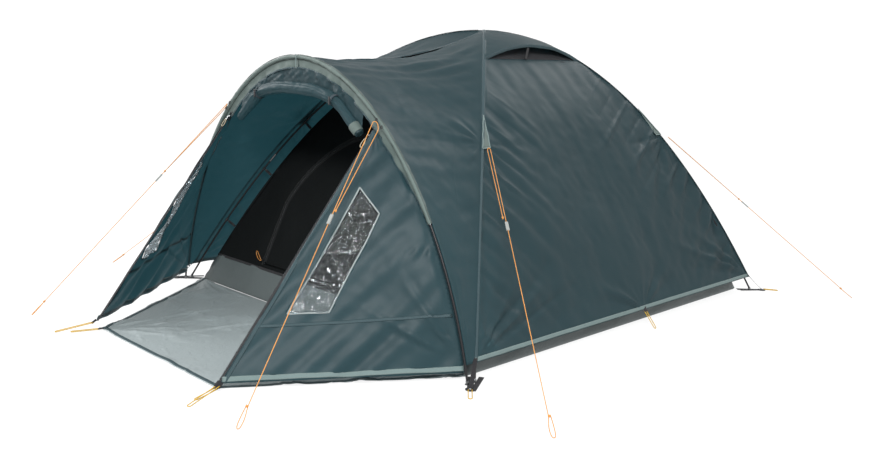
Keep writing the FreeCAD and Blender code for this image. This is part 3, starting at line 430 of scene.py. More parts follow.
def folds(points, rays):
    """Tension folds: each ray has a start, a direction, length, width, height."""
    total = np.zeros(points.shape[:-1])
    for start, way, length, width, height in rays:
        way = np.asarray(way, float)
        way = way / np.linalg.norm(way)
        away = points - np.asarray(start, float)
        along = away @ way
        share = np.clip(along / length, 0, 1)
        side = np.linalg.norm(away - along[..., None] * way, axis=-1)
        spread = width * (0.35 + share)
        shape = np.sin(math.pi * np.clip(share, 0, 1) ** 0.7)
        total += height * shape * np.exp(-(side / spread) ** 2)
    return total


def streaks(points, seed, size, way, stretch=6.0):
    """Smooth random height drawn out along one direction, as in cloth pulled tight."""
    way = normalised(np.asarray(way, float))
    along = points @ way
    return Waves(seed, size)(points - along[..., None] * way * (1 - 1 / stretch))


def fan(start, way, around, spread, count, length, width, height, seed):
    """Rays that spread from one point, either side of a direction."""
    rng = np.random.default_rng(seed)
    way = normalised(np.asarray(way, float))
    around = normalised(np.asarray(around, float))
    across = np.cross(around, way)
    rays = []
    for index in range(count):
        angle = spread * (index / max(1, count - 1) - 0.5) + rng.uniform(-0.06, 0.06)
        turned = way * math.cos(angle) + across * math.sin(angle)
        rays.append((start, turned, length * rng.uniform(0.55, 1.15),
                     width * rng.uniform(0.6, 1.3),
                     height * rng.uniform(0.45, 1.2) * (1 if index % 2 else -0.6)))
    return rays


def lengths_uv(points):
    """Rough cloth coordinates in metres for a grid of points."""
    down = np.linalg.norm(np.diff(points, axis=0), axis=-1).mean(1)
    across = np.linalg.norm(np.diff(points, axis=1), axis=-1).mean(0)
    u = np.concatenate([[0], np.cumsum(across)])
    v = np.concatenate([[0], np.cumsum(down)])
    uu, vv = np.meshgrid(u, v)
    return np.stack([uu, vv], -1).reshape(-1, 2)


def cloth_grid(name, points, material, height):
    """A skin over a grid of points, pushed out along its normals by height."""
    rows, columns = points.shape[:2]
    faces = grid_faces(rows, columns)
    flat = points.reshape(-1, 3)
    uv = lengths_uv(points)
    normals = vertex_normals(flat, faces)
    if (normals * (flat - np.array([0, 0, 0.3]))).sum() < 0:
        faces, normals = faces[:, ::-1], -normals
    flat = flat + normals * height(flat)[:, None]
    obj = make_mesh(name, flat, faces, material, uv)
    return thicken(obj, CLOTH), flat.reshape(points.shape)


def ribbon(name, path, normals, width, material, lift=0.0012, thickness=0.0008, crown=0.0003,
           closed=False):
    """A tape along a path, lying lift above it."""
    path = np.asarray(path, float)
    normals = np.broadcast_to(normalised(np.asarray(normals, float)), path.shape)
    way = np.gradient(path, axis=0)
    if closed:
        way = np.roll(path, -1, 0) - np.roll(path, 1, 0)
    across = normalised(np.cross(normals, normalised(way)))
    shares = np.linspace(0, 1, 5)
    columns = [path + across * width * (share - 0.5)
               + normals * (lift + crown * (1 - (2 * share - 1) ** 2)) for share in shares]
    points = np.stack(columns, 1)
    along = np.concatenate([[0], np.cumsum(np.linalg.norm(np.diff(path, axis=0), axis=1))])
    uv = np.stack([np.repeat(along[:, None], 5, 1), np.repeat(shares[None], len(path), 0)], -1)
    if closed:
        points = np.concatenate([points, points[:1]])
        uv = np.concatenate([uv, uv[:1] + [[[along[-1] + 0.001, 0]]]])
    obj = make_mesh(name, points.reshape(-1, 3), grid_faces(len(points), 5), material,
                    uv.reshape(-1, 2))
    return thicken(obj, thickness)


def tape(name, path, out, width, material, lift, thickness, body=ROOT, stands_for=(),
         closed=False):
    """A ribbon that is a piece of its own."""
    obj = ribbon(name, path, out, width, material, lift, thickness, closed=closed)
    return finish_piece(obj, body, stands_for)


def tube_mesh(path, radii, sides=16, cap=True):
    """Points and faces of a tube whose radius may vary along and around it."""
    path = np.asarray(path, float)
    way = normalised(np.gradient(path, axis=0))
    up = np.array([0, 0, 1.0]) if abs(way[0, 2]) < 0.9 else np.array([0, 1.0, 0])
    first = normalised(np.cross(way[0], up))
    frames = [first]
    for index in range(1, len(path)):
        moved = frames[-1] - way[index] * (frames[-1] @ way[index])
        frames.append(normalised(moved))
    side = np.array(frames)
    other = np.cross(way, side)
    angle = np.linspace(0, 2 * math.pi, sides, endpoint=False)
    radii = np.broadcast_to(np.asarray(radii, float), (len(path), sides)) \
        if np.ndim(radii) != 1 else np.repeat(np.asarray(radii)[:, None], sides, 1)
    points = (path[:, None] + side[:, None] * (np.cos(angle) * radii)[..., None]
              + other[:, None] * (np.sin(angle) * radii)[..., None])
    faces = [list(f) for f in grid_faces(len(path), sides, True)]
    if cap:
        faces.append(list(range(sides))[::-1])
        faces.append([(len(path) - 1) * sides + i for i in range(sides)])
    along = np.concatenate([[0], np.cumsum(np.linalg.norm(np.diff(path, axis=0), axis=1))])
    uv = np.stack(np.broadcast_arrays(along[:, None], angle[None] / 40), -1).reshape(-1, 2)
    return points.reshape(-1, 3), faces, uv


def join_meshes(name, meshes, material):
    """One object from several (points, faces, uv) lists."""
    points, faces, uvs, base = [], [], [], 0
    for p, f, uv in meshes:
        points.append(p)
        uvs.append(uv)
        faces += [[i + base for i in face] for face in f]
        base += len(p)
    return make_mesh(name, np.concatenate(points), faces, material, np.concatenate(uvs))


def smooth_path(points, count):
    """A Catmull-Rom line through given points."""
    p = np.asarray(points, float)
    p = np.concatenate([[2 * p[0] - p[1]], p, [2 * p[-1] - p[-2]]])
    out = []
    spans = len(p) - 3
    for t in np.linspace(0, spans - 1e-9, count):
        i, u = int(t), t - int(t)
        a, b, c, d = p[i:i + 4]
        out.append(0.5 * (2 * b + (c - a) * u + (2 * a - 5 * b + 4 * c - d) * u ** 2
                          + (3 * b - a - 3 * c + d) * u ** 3))
    return np.array(out)


def cut_sheet(outline, holes, spacing):
    """Triangles over a flat outline with holes left open, points about spacing apart."""
    outline = [np.asarray(o, float) for o in [outline, *holes]]
    low, high = outline[0].min(0), outline[0].max(0)
    xs = np.arange(low[0] + spacing / 2, high[0], spacing)
    ys = np.arange(low[1] + spacing / 2, high[1], spacing)
    grid = np.stack(np.meshgrid(xs, ys), -1)
    grid[::2, :, 0] += spacing / 2
    grid = grid.reshape(-1, 2)

    def within(points, loop):
        inside = np.zeros(len(points), bool)
        for a, b in zip(loop, np.roll(loop, -1, 0)):
            crosses = (a[1] > points[:, 1]) != (b[1] > points[:, 1])
            slope = (b[0] - a[0]) / (b[1] - a[1] if b[1] != a[1] else 1e-12)
            inside ^= crosses & (points[:, 0] < a[0] + slope * (points[:, 1] - a[1]))
        return inside

    def near(points, loop):
        close = np.zeros(len(points), bool)
        for a, b in zip(loop, np.roll(loop, -1, 0)):
            span = b - a
            t = np.clip(((points - a) @ span) / max(span @ span, 1e-12), 0, 1)
            close |= np.linalg.norm(points - a - t[:, None] * span, axis=1) < spacing * 0.35
        return close

    keep = within(grid, outline[0])
    for loop in outline:
        keep &= ~near(grid, loop)
    for loop in outline[1:]:
        keep &= ~within(grid, loop)
    points, edges = [], []
    for loop in outline:
        dense = []
        for a, b in zip(loop, np.roll(loop, -1, 0)):
            steps = max(1, int(np.linalg.norm(b - a) / spacing))
            dense += [a + (b - a) * i / steps for i in range(steps)]
        base = len(points)
        points += dense
        edges += [(base + i, base + (i + 1) % len(dense)) for i in range(len(dense))]
    points += list(grid[keep])
    found = delaunay_2d_cdt([Vector(p) for p in points], edges, [], 0, 1e-7)
    flat = np.array([list(v) for v in found[0]])
    faces = np.array([list(f) for f in found[2]])
    middle = flat[faces].mean(1)
    inside = within(middle, outline[0])
    for loop in outline[1:]:
        inside &= ~within(middle, loop)
    return flat, faces[inside]


# ------------------------------------------------------------- tent shape

FLY = np.array([0.985, 1.050, 1.250])
INNER = np.array([0.900, 1.000, 1.200])
HEM, FLOOR_WALL = 0.072, 0.130
VENT_SHARE, VENT_LIFT = 0.32, 0.068
SLEEVE_R = 0.009
HOOP_TOP, HOOP_FOOT_Y, HOOP_LEAN = 1.118, -1.062, 0.028
ARCH = np.array([(0, HOOP_TOP), (0.436, HOOP_TOP), (0.860, 0.613), (0.972, 0)])
SLEEVE_LOW, BAND_FULL = 0.545, 0.824  # heights where the sleeve ends and the band is widest
BAND_NARROW, BAND_SPREAD = 0.018, 0.034
DOOR_TOP = np.array([0.480, -1.0955, 0.858])
DOOR_FOOT = np.array([0.463, -1.753, 0.030])
WINDOW = [(-1.204, 0.659), (-1.186, 0.574), (-1.407, 0.251), (-1.519, 0.244)]


def share_at(shell, height):
    return math.sqrt(1 - height / shell[2])


def ridge(shell, share, side_x, side_y):
    share = np.asarray(share, float)
    return np.stack([side_x * shell[0] * share, side_y * shell[1] * share,
                     shell[2] * (1 - share ** 2)], -1)


def side_grid(shell, side, top, foot, rows, columns):
    """The dome's side face between its ridges, from share top to share foot."""
    k, v = np.meshgrid(np.linspace(top, foot, rows), np.linspace(-1, 1, columns),
                       indexing="ij")
    return np.stack([side * shell[0] * k, shell[1] * k * v, shell[2] * (1 - k ** 2)], -1)


def end_grid(shell, side, top, foot, rows, columns):
    """The dome's front or rear face between its ridges."""
    k, v = np.meshgrid(np.linspace(top, foot, rows), np.linspace(-1, 1, columns),
                       indexing="ij")
    return np.stack([shell[0] * k * v, side * shell[1] * k, shell[2] * (1 - k ** 2)], -1)


def arch(share, inset=0.0, side=RIGHT, forward=0.0):
    """Points on the hoop: share 0 at the top, 1 at the foot."""
    t = np.asarray(share, float)[..., None]
    r = 1 - t
    flat = (r ** 3 * ARCH[0] + 3 * r * r * t * ARCH[1] + 3 * r * t * t * ARCH[2]
            + t ** 3 * ARCH[3])
    way = normalised(r * r * (ARCH[1] - ARCH[0]) + 2 * r * t * (ARCH[2] - ARCH[1])
                     + t * t * (ARCH[3] - ARCH[2]))
    inset = np.asarray(inset, float)
    x = flat[..., 0] + inset * way[..., 1]
    z = flat[..., 1] - inset * way[..., 0]
    y = HOOP_FOOT_Y - HOOP_LEAN * z / HOOP_TOP - forward
    return np.stack([side * x, y, z], -1)


def arch_share(height, inset):
    low, high = 0.0, 1.0
    for _ in range(40):
        middle = (low + high) / 2
        if arch(middle, inset)[2] > height:
            low = middle
        else:
            high = middle
    return low


ROOF_FOOT = arch_share(HEM, 0)
SLEEVE_FOOT = arch_share(SLEEVE_LOW, BAND_NARROW)
PANEL_TOP = arch_share(BAND_FULL, BAND_NARROW + BAND_SPREAD)
PANEL_FOOT = arch_share(0.042, BAND_NARROW)


def band_inset(share):
    height = arch(share)[..., 2]
    kept = np.clip((height - SLEEVE_LOW) / (BAND_FULL - SLEEVE_LOW), 0, 1)
    return BAND_NARROW + BAND_SPREAD * kept


def roof_grid(side, rows, columns):
    """Flysheet between the hoop and the dome's front ridge."""
    step = np.linspace(0, 1, columns)
    hoop = arch(ROOF_FOOT * step, SLEEVE_R, side)
    hoop[:, 1] += SLEEVE_R
    crest = ridge(FLY, share_at(FLY, HEM) * step, side, -1)
    share = np.linspace(0, 1, rows)[:, None, None]
    points = hoop * (1 - share) + crest * share
    dip = 0.055 * 4.76 * share[..., 0] * (1 - share[..., 0])
    points[..., 2] -= dip * (1 - step) ** 2 * (1 + 2 * step)
    return points


def packed(seed, amount=1.0):
    """Gentle billow and packing creases common to all of the flysheet."""
    wide, mid, fine = Waves(seed, 0.55), Waves(seed + 1, 0.16), Waves(seed + 2, 0.055)

    def height(points):
        return amount * (0.0030 * wide(points) + 0.0013 * mid(points)
                         + 0.00045 * fine(points)
                         + 0.0005 * creases(points, seed + 3, 0.34, 0.12)
                         - 0.0004 * creases(points, seed + 4, 0.22, 0.12))
    return height


def edge_taper(values, low, high, width):
    """0 at both ends of a range, 1 inside it."""
    return np.clip(np.minimum(values - low, high - values) / width, 0, 1)


def side_height(side):
    seed = 11 if side == RIGHT else 31
    base = packed(seed, 1.0)
    corner_f = ridge(FLY, 0.965, side, -1)
    corner_r = ridge(FLY, 0.965, side, 1)
    tab_f = ridge(FLY, 0.60, side, -1)
    tab_r = ridge(FLY, 0.62, side, 1)
    peg = np.array([side * 0.955, 0.06, 0.075])
    out = np.array([side, 0, 0.6])
    rays = fan(corner_f, (-side * 0.5, 1.0, 0.9), out, 1.2, 9, 0.75, 0.016, 0.0075, 41)
    rays += fan(corner_r, (-side * 0.5, -1.0, 0.9), out, 1.2, 9, 0.70, 0.016, 0.0070, 42)
    rays += fan(peg, (-side * 0.6, 0, 1.0), out, 2.5, 13, 0.52, 0.016, 0.0085, 43)
    rays += fan(tab_f, (side * 0.45, 0.7, -0.6), out, 1.5, 7, 0.45, 0.013, 0.0060, 44)
    rays += fan(tab_r, (side * 0.45, -0.7, -0.6), out, 1.5, 7, 0.40, 0.013, 0.0055, 45)
    for index, share in enumerate(np.linspace(0.40, 0.93, 12)):
        rays.append((ridge(FLY, share, side, -1), (side * 0.4, 0.75, -0.60),
                     0.24 + 0.07 * (index % 3), 0.013, 0.0048 * (1 if index % 2 else -0.6)))
        rays.append((ridge(FLY, share, side, 1), (side * 0.3, -0.85, -0.45),
                     0.30 + 0.09 * (index % 3), 0.014, 0.0056 * (-0.6 if index % 2 else 1)))

    def height(points):
        k = np.sqrt(np.clip(1 - points[:, 2] / FLY[2], 0, 1))
        v = points[:, 1] / (FLY[1] * np.maximum(k, 1e-6))
        bow = -0.014 * (1 - v ** 2) * edge_taper(k, VENT_SHARE, 0.971, 0.3)
        keep = edge_taper(v, -1.0, 1.0, 0.03) * edge_taper(k, VENT_SHARE, 2.0, 0.02)
        keep = keep * (0.35 + 0.65 * np.clip((0.9707 - k) / 0.04, 0, 1))
        pull = np.clip((np.abs(v) - 0.25) / 0.6, 0, 1) * np.clip((k - 0.42) / 0.25, 0, 1)
        drawn = np.where(v < 0, streaks(points, seed + 5, 0.085, (side * 0.45, 0.75, -0.8)),
                         streaks(points, seed + 6, 0.085, (side * 0.45, -0.75, -0.8)))
        drawn = 0.0050 * drawn * pull + 0.0014 * streaks(points, seed + 7, 0.11,
                                                          (side * 0.4, 0.1, -1.0))
        lower = np.clip((k - 0.45) / 0.3, 0, 1)
        return (bow + base(points) * (0.4 + 0.6 * lower)
                + (0.6 + 2.5 * lower) * folds(points, rays) + drawn) * keep
    return height


for side, name in SIDES:
    grid = side_grid(FLY, side, VENT_SHARE, share_at(FLY, HEM), 150, 230)
    obj, _ = cloth_grid("fly_side_cloth_" + name, grid, M["fly"], side_height(side))
    finish_piece(obj, ROOT, ["fly_side_" + name])


def rear_height():
    base = packed(51)
    out = np.array([0, 1, 0.6])
    rays = []
    for side in (RIGHT, LEFT):
        rays += fan(ridge(FLY, 0.965, side, 1), (-side, -0.5, 0.9), out, 1.2, 9, 0.8, 0.016,
                    0.0070, 52 + side)
        rays += fan(ridge(FLY, 0.62, side, 1), (-side * 0.7, 0.45, -0.6), out, 1.5, 7, 0.45,
                    0.013, 0.0055, 62 + side)
    rays += fan(ridge(FLY, 0.03, 1, 1), (0, 1, -0.4), (0, 0.2, 1), 2.0, 11, 0.5, 0.012,
                0.0040, 71)

    def height(points):
        k = np.sqrt(np.clip(1 - points[:, 2] / FLY[2], 0, 1))
        v = points[:, 0] / (FLY[0] * np.maximum(k, 1e-6))
        bow = -0.014 * (1 - v ** 2) * edge_taper(k, 0.0, 0.971, 0.3)
        keep = edge_taper(v, -1.0, 1.0, 0.03)
        keep = keep * (0.35 + 0.65 * np.clip((0.9707 - k) / 0.04, 0, 1))
        drawn = np.where(v < 0, streaks(points, 58, 0.085, (0.75, 0.45, -0.8)),
                         streaks(points, 59, 0.085, (-0.75, 0.45, -0.8)))
        pull = np.clip((np.abs(v) - 0.25) / 0.6, 0, 1) * np.clip((k - 0.42) / 0.25, 0, 1)
        return (bow + base(points) + 1.5 * folds(points, rays) + 0.0036 * drawn * pull) * keep
    return height


obj, _ = cloth_grid("fly_rear_cloth", end_grid(FLY, 1, 0.004, share_at(FLY, HEM), 190, 220),
                    M["fly"], rear_height())
finish_piece(obj, ROOT, ["fly_rear"])


def roof_height(side):
    seed = 81 if side == RIGHT else 91
    base = packed(seed, 0.8)
    out = np.array([side * 0.7, -0.5, 0.8])
    rays = fan((side * 0.545, -1.075, 0.86), (side * 0.1, 1.0, -0.15), out, 1.8, 9, 0.40, 0.013,
               0.0060, 82)
    rays += fan(ridge(FLY, 0.60, side, -1), (-side * 0.2, -0.9, 0.2), out, 1.8, 8, 0.36, 0.013,
                0.0055, 83)
    rays += fan((side * 0.93, -1.05, 0.10), (-side * 0.1, 0.25, 1.0), out, 0.5, 6, 0.60, 0.012,
                0.0045, 84)
    rays += fan((0, -0.05, 1.24), (side * 0.35, -1, -0.2), (0, 0, 1), 1.0, 7, 0.45, 0.011,
                0.0040, 85)
    rays += fan((side * 0.02, -1.06, 1.11), (side * 0.3, 1, 0.1), (0, 0, 1), 1.2, 8, 0.40,
                0.011, 0.0040, 86)

    def height(points):
        drawn = streaks(points, seed + 6, 0.075, (side * 0.15, 1.0, 0.1))
        crest = FLY[1] * np.sqrt(np.clip(1 - points[:, 2] / FLY[2], 0, 1))
        hoop = -HOOP_FOOT_Y + HOOP_LEAN * points[:, 2] / HOOP_TOP - SLEEVE_R
        keep = (np.clip((-points[:, 1] - crest) / 0.05, 0, 1)
                * np.clip((hoop + points[:, 1]) / 0.05, 0, 1))
        return (base(points) + 1.5 * folds(points, rays) + 0.0022 * drawn) * keep
    return height


for side, name in SIDES:
    grid = roof_grid(side, 110, 190)
    obj, _ = cloth_grid("fly_roof_cloth_" + name, grid, M["fly"], roof_height(side))
    finish_piece(obj, ROOT, ["fly_roof_" + name])

# ------------------------------------------------------------- seams on the fly


def unit_out(points):
    """Directions away from the middle of the tent."""
    return normalised(points - np.array([0, 0, 0.2]))


for side, name in SIDES:
    for side_y, end in ((-1, "front"), (1, "rear")):
        top = 0.01 if side_y > 0 else 0.02
        line = ridge(FLY, np.linspace(top, share_at(FLY, HEM), 120), side, side_y)
        seam = ribbon("ridge_seam_%s_%s" % (end, name), line, unit_out(line), 0.016, M["seam"],
                      0.0016, 0.001)
        finish_piece(seam)
roof_line = roof_grid(RIGHT, 60, 4)[:, 0]
tape("roof_centre_seam", roof_line, [0, 0, 1.0], 0.014, M["seam"], 0.0022, 0.001)

# ------------------------------------------------------------- roof vents


def hood_grid(side, rows, columns):
    along, across = np.meshgrid(np.linspace(0.04, 1, rows), np.linspace(-1, 1, columns),
                                indexing="ij")
    k = along * VENT_SHARE
    lift = VENT_LIFT * along ** 2 * (1 - across ** 2)
    return np.stack([side * FLY[0] * k, FLY[1] * k * across,
                     FLY[2] * (1 - k ** 2) + lift], -1)


def hood_height(side):
    base = packed(101 if side == RIGHT else 111, 0.55)
    lip = (side * FLY[0] * VENT_SHARE * 0.95, -0.04, 1.175)
    rays = fan(lip, (-side, 0.1, 0.1), (0, 0, 1), 1.6, 7, 0.24, 0.010, 0.0038, 102)
    rays += fan(ridge(FLY, 0.04, side, -1), (side, 0, -0.1), (0, 0, 1), 1.4, 7, 0.22, 0.008,
                0.0032, 103)
    for end in (-1, 1):
        rays += fan(ridge(FLY, VENT_SHARE, side, end), (-side * 0.2, -end, 0.25), (0, 0, 1),
                    0.9, 5, 0.20, 0.009, 0.0036, 104 + end)

    def height(points):
        return base(points) + folds(points, rays)
    return height


for side, name in SIDES:
    grid = hood_grid(side, 60, 90)
    obj, moved = cloth_grid("vent_hood_cloth_" + name, grid, M["fly"], hood_height(side))
    finish_piece(obj, ROOT, ["vent_hood_" + name])
    lip = moved[-1]
    out = [side * 1.0, 0, -0.2]
    tape("vent_lip_" + name, lip + np.array([side * 0.0005, 0, -0.006]), out, 0.014, M["seam"],
         0.001, 0.0012)
    k, v = np.meshgrid(np.linspace(0.04, VENT_SHARE + 0.01, 40), np.linspace(-1, 1, 60),
                       indexing="ij")
    net = np.stack([side * (FLY[0] - 0.0026) * k, (FLY[1] - 0.0026) * k * v,
                    FLY[2] * (1 - k ** 2) - 0.0026], -1)
    sag = Waves(120, 0.12)
    net[..., 2] += 0.0008 * sag(net)
    obj = make_mesh("vent_net_" + name, net.reshape(-1, 3), grid_faces(40, 60), M["net"],
                    lengths_uv(net))
    finish_piece(thicken(obj, 0.0006), ROOT, ["vent_mesh"])

# ------------------------------------------------------------- hoop sleeve and band

for side, name in SIDES:
    share = np.linspace(0.0, SLEEVE_FOOT, 260)
    spine = arch(share, SLEEVE_R, side)
    angle = np.linspace(0, 2 * math.pi, 20, endpoint=False)
    pulls = Waves(130 + side, 0.035)
    slow = Waves(133 + side, 0.14)
    ripple = pulls(spine)[:, None] * 0.00055 * np.cos(angle * 2 + 1) \
        + slow(spine)[:, None] * 0.0009
    radii = SLEEVE_R - 0.0004 + ripple
    points, faces, uv = tube_mesh(spine, radii, 20, False)
    uv = np.stack([uv[:, 0], uv[:, 1] * 1.2], -1)
    obj = make_mesh("hoop_sleeve_cloth_" + name, points, faces, M["sleeve"], uv)
    finish_piece(thicken(obj, 0.0008), ROOT, ["arch_sleeve"])
    for edge, offset in (("outer", 0.0), ("inner", 0.018)):
        line = arch(share, offset, side) + np.array([0, -0.0015, 0])
        way = normalised(np.gradient(line, axis=0))
        normals = np.cross(way, [0, 1, 0]) * (1 if offset else -1)
        if (normals[0, 2] < 0) == (offset == 0):
            normals = -normals
        tape("sleeve_seam_%s_%s" % (edge, name), line, normals, 0.005, M["piping"], 0.0006,
             0.0006)
    rows, columns = 9, 220
    t = np.linspace(0, SLEEVE_FOOT, columns)
    width = band_inset(t)
    band = np.stack([arch(t, 0.0165 + (width - 0.0165) * r, side)
                     for r in np.linspace(0, 1, rows)])
    band[..., 1] += 0.001
    flutter, small = Waves(140 + side, 0.09), Waves(142 + side, 0.03)
    amount = np.linspace(0, 1, rows)[:, None]
    band[..., 1] += (0.0028 * flutter(band) + 0.0008 * small(band)) * amount
    obj = make_mesh("hoop_band_" + name, band.reshape(-1, 3), grid_faces(rows, columns),
                    M["sage"], lengths_uv(band))
    finish_piece(thicken(obj, 0.0012), ROOT, ["arch_band"])
    tape("band_binding_" + name, band[-1], [0, -1.0, 0], 0.007, M["seam"], 0.0012, 0.0010)
    t = np.linspace(SLEEVE_FOOT - 0.03, ROOF_FOOT, 120)
    gutter = arch(t, 0.0135, side) + np.array([0, 0.0068, 0])
    tape("hoop_gutter_" + name, gutter, [0, -1.0, 0], 0.026, M["fly"], 0.0, 0.0010)
line = np.stack([np.zeros(10), np.full(10, -1.0995), np.linspace(1.064, 1.120, 10)], -1)
tape("sleeve_top_seam", line, [0, -1.0, 0], 0.005, M["hem"], 0.0004, 0.0008)

# ------------------------------------------------------------- rolled door

ROLL_Y, ROLL_R = -1.1007, 0.027
ROLL_LINE = [(0, 0.985), (0.130, 0.980), (0.250, 0.952), (0.340, 0.886), (0.400, 0.838)]


def roll_path(count):
    line = [(-x, z) for x, z in ROLL_LINE[:0:-1]] + ROLL_LINE
    return smooth_path([(x, ROLL_Y, z) for x, z in line], count)


spine = roll_path(320)
angle = np.linspace(0, 2 * math.pi, 44, endpoint=False)
reach = np.concatenate([[0], np.cumsum(np.linalg.norm(np.diff(spine, axis=0), axis=1))])
total = reach[-1]
tie_at = [np.argmin(abs(spine[:, 0] + 0.25)), np.argmin(abs(spine[:, 0] - 0.25))]
pinch = np.ones(len(spine))
for index in tie_at:
    pinch -= 0.20 * np.exp(-((reach - reach[index]) / 0.022) ** 2)
ends = np.clip(np.minimum(reach, total - reach) / 0.035, 0, 1) ** 0.5
lumps, twist = Waves(150, 0.13), Waves(151, 0.035)
middle = np.clip(1 - np.abs(reach - total / 2) / (total / 2), 0, 1)
body = ROLL_R * (0.74 + 0.18 * middle ** 0.6 + 0.05 * lumps(spine)) * pinch * (0.72 + 0.28 * ends)
spiral = (0.9 * np.cos(5 * angle[None] + 2.5 * reach[:, None] + 0.6 * twist(spine)[:, None])
          + 0.7 * np.cos(9 * angle[None] - 4.0 * reach[:, None]))
layer = ((angle[None] / (2 * math.pi) * 5 + reach[:, None] * 2.1) % 1.0)
radii = body[:, None] + 0.0011 * spiral - 0.0030 * np.exp(-(layer / 0.05) ** 2)
for index in tie_at:
    near = np.exp(-((reach - reach[index]) / 0.06) ** 2)[:, None]
    radii += 0.0016 * near * np.cos(11 * angle[None] + 5 * reach[:, None])
points, faces, uv = tube_mesh(spine, radii, 44, False)
side_ring = len(angle)
for first, sign in ((0, -1), ((len(spine) - 1) * side_ring, 1)):
    ring = points[first:first + side_ring]
    centre = ring.mean(0)
    way = normalised(spine[-1] - spine[-2]) if sign > 0 else normalised(spine[0] - spine[1])
    base, previous = len(points), list(range(first, first + side_ring))
    for step, scale in enumerate((0.86, 0.70, 0.74, 0.52, 0.44, 0.47, 0.24, 0.12)):
        depth = -0.004 if step % 3 == 0 else 0.0015
        fresh = centre + (ring - centre) * scale + way * depth
        start = len(points)
        points = np.concatenate([points, fresh])
        uv = np.concatenate([uv, uv[first:first + side_ring]])
        now = list(range(start, start + side_ring))
        for i in range(side_ring):
            k = (i + 1) % side_ring
            quad = [previous[i], previous[k], now[k], now[i]]
            faces.append(quad[::-1] if sign > 0 else quad)
        previous = now
    faces.append(previous if sign > 0 else previous[::-1])
roll = make_mesh("door_roll_cloth", points, faces, M["fly"], uv)
finish_piece(roll, "door_roll_bundle", ["door_roll"])
for index, name in zip(tie_at, ("left", "right")):
    way = normalised(spine[index + 1] - spine[index - 1])
    first = normalised(np.cross(way, [0, 1.0, 0]))
    turn = np.linspace(0, 2 * math.pi, 60, endpoint=False)
    out = np.cos(turn)[:, None] * first + np.sin(turn)[:, None] * np.cross(way, first)
    loop = spine[index] + out * (ROLL_R * 0.80 + 0.0016)
    tie = ribbon("door_tie_" + name, loop, out, 0.011, M["tie"], 0.0004, 0.0014, closed=True)
    finish_piece(tie, "door_roll_bundle", ["door_ties"])
    toggle_at = spine[index] + np.array([0, -ROLL_R * 0.80 - 0.0065, 0])
    bar = [toggle_at + np.array([0, 0, z]) for z in np.linspace(-0.016, 0.016, 13)]
    radius = 0.004 * (0.75 + 0.25 * np.cos(np.linspace(-1.4, 1.4, 13)))
    p, f, u = tube_mesh(bar, radius, 16)
    finish_piece(make_mesh("door_toggle_" + name, p, f, M["black"], u),
                 "door_roll_bundle", ["door_ties"])

# A pale reinforcement at the door's corner shows at the end of the roll.
patch = spine[-26:-3]
patch_body = body[-26:-3, None]
way = normalised(np.gradient(patch, axis=0))
first = normalised(np.cross(way, [0, 1.0, 0]))
turn = np.linspace(-0.35 * math.pi, 0.75 * math.pi, 26)
grid = np.stack([patch + (first * math.cos(a) + np.cross(way, first) * math.sin(a))
                 * (patch_body + 0.0024) for a in turn], 1)
obj = make_mesh("door_corner_patch", grid.reshape(-1, 3), grid_faces(len(patch), len(turn)),
                M["sage"], lengths_uv(grid))
finish_piece(thicken(obj, 0.0010), "door_roll_bundle")

# The door's cloth between the hoop band and the roll.
half = 0.40
xs = np.linspace(-half, half, 130)
shares = np.interp(np.abs(xs), arch(np.linspace(0, 0.6, 200), 0.050)[:, 0],
                   np.linspace(0, 0.6, 200))
top = arch(shares, 0.050)
top[:, 0] = xs
roll_z = np.interp(xs, spine[:, 0], spine[:, 2])
rows = 40
cloth = []
for r in np.linspace(0, 1, rows):
    line = top.copy()
    line[:, 2] = top[:, 2] * (1 - r) + (roll_z + 0.014) * r
    line[:, 1] = top[:, 1] * (1 - r) + (ROLL_Y + 0.010) * r
    cloth.append(line)
cloth = np.array(cloth)
gather = fan((-0.25, -1.09, 0.955), (0.2, 0, 1.0), (0, -1, 0), 2.6, 9, 0.13, 0.007, 0.0060, 161)
gather += fan((0.25, -1.09, 0.955), (-0.2, 0, 1.0), (0, -1, 0), 2.6, 9, 0.13, 0.007, 0.0060, 162)
slack, small = Waves(163, 0.07), Waves(164, 0.025)
spread_down = np.sin(np.linspace(0, math.pi, rows))[:, None]
push = (0.0032 * slack(cloth * np.array([1, 1, 0.35])) + 0.0010 * small(cloth)
        + folds(cloth, gather)) * (0.25 + 0.75 * spread_down)
cloth[..., 1] -= np.clip(push, -0.005, 0.010)
obj = make_mesh("door_head_cloth", cloth.reshape(-1, 3), grid_faces(rows, len(xs)), M["fly"],
                lengths_uv(cloth))
thicken(obj, 0.0012)
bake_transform(obj)
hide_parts("door_upper_panel")

# ------------------------------------------------------------- porch panels

PANEL_ROWS = 120
PANEL_SEAM = 0.79  # share of the way down to the seam across the panel


def panel_edges(side):
    t = np.linspace(PANEL_TOP, PANEL_FOOT, PANEL_ROWS)
    hoop = arch(t, band_inset(t) + 0.001, side)
    step = np.linspace(0, 1, PANEL_ROWS)[:, None]
    sides = np.array([side, 1, 1])
    door = DOOR_TOP * sides * (1 - step) + DOOR_FOOT * sides * step
    return hoop, door


def panel_point(flat, side):
    """Panel coordinates (across 0..1 from hoop to door edge, down 0..1) to space."""
    hoop, door = panel_edges(side)
    line = np.linspace(0, 1, PANEL_ROWS)
    a = np.stack([np.interp(flat[:, 1], line, hoop[:, i]) for i in range(3)], -1)
    b = np.stack([np.interp(flat[:, 1], line, door[:, i]) for i in range(3)], -1)
    return a * (1 - flat[:, :1]) + b * flat[:, :1]


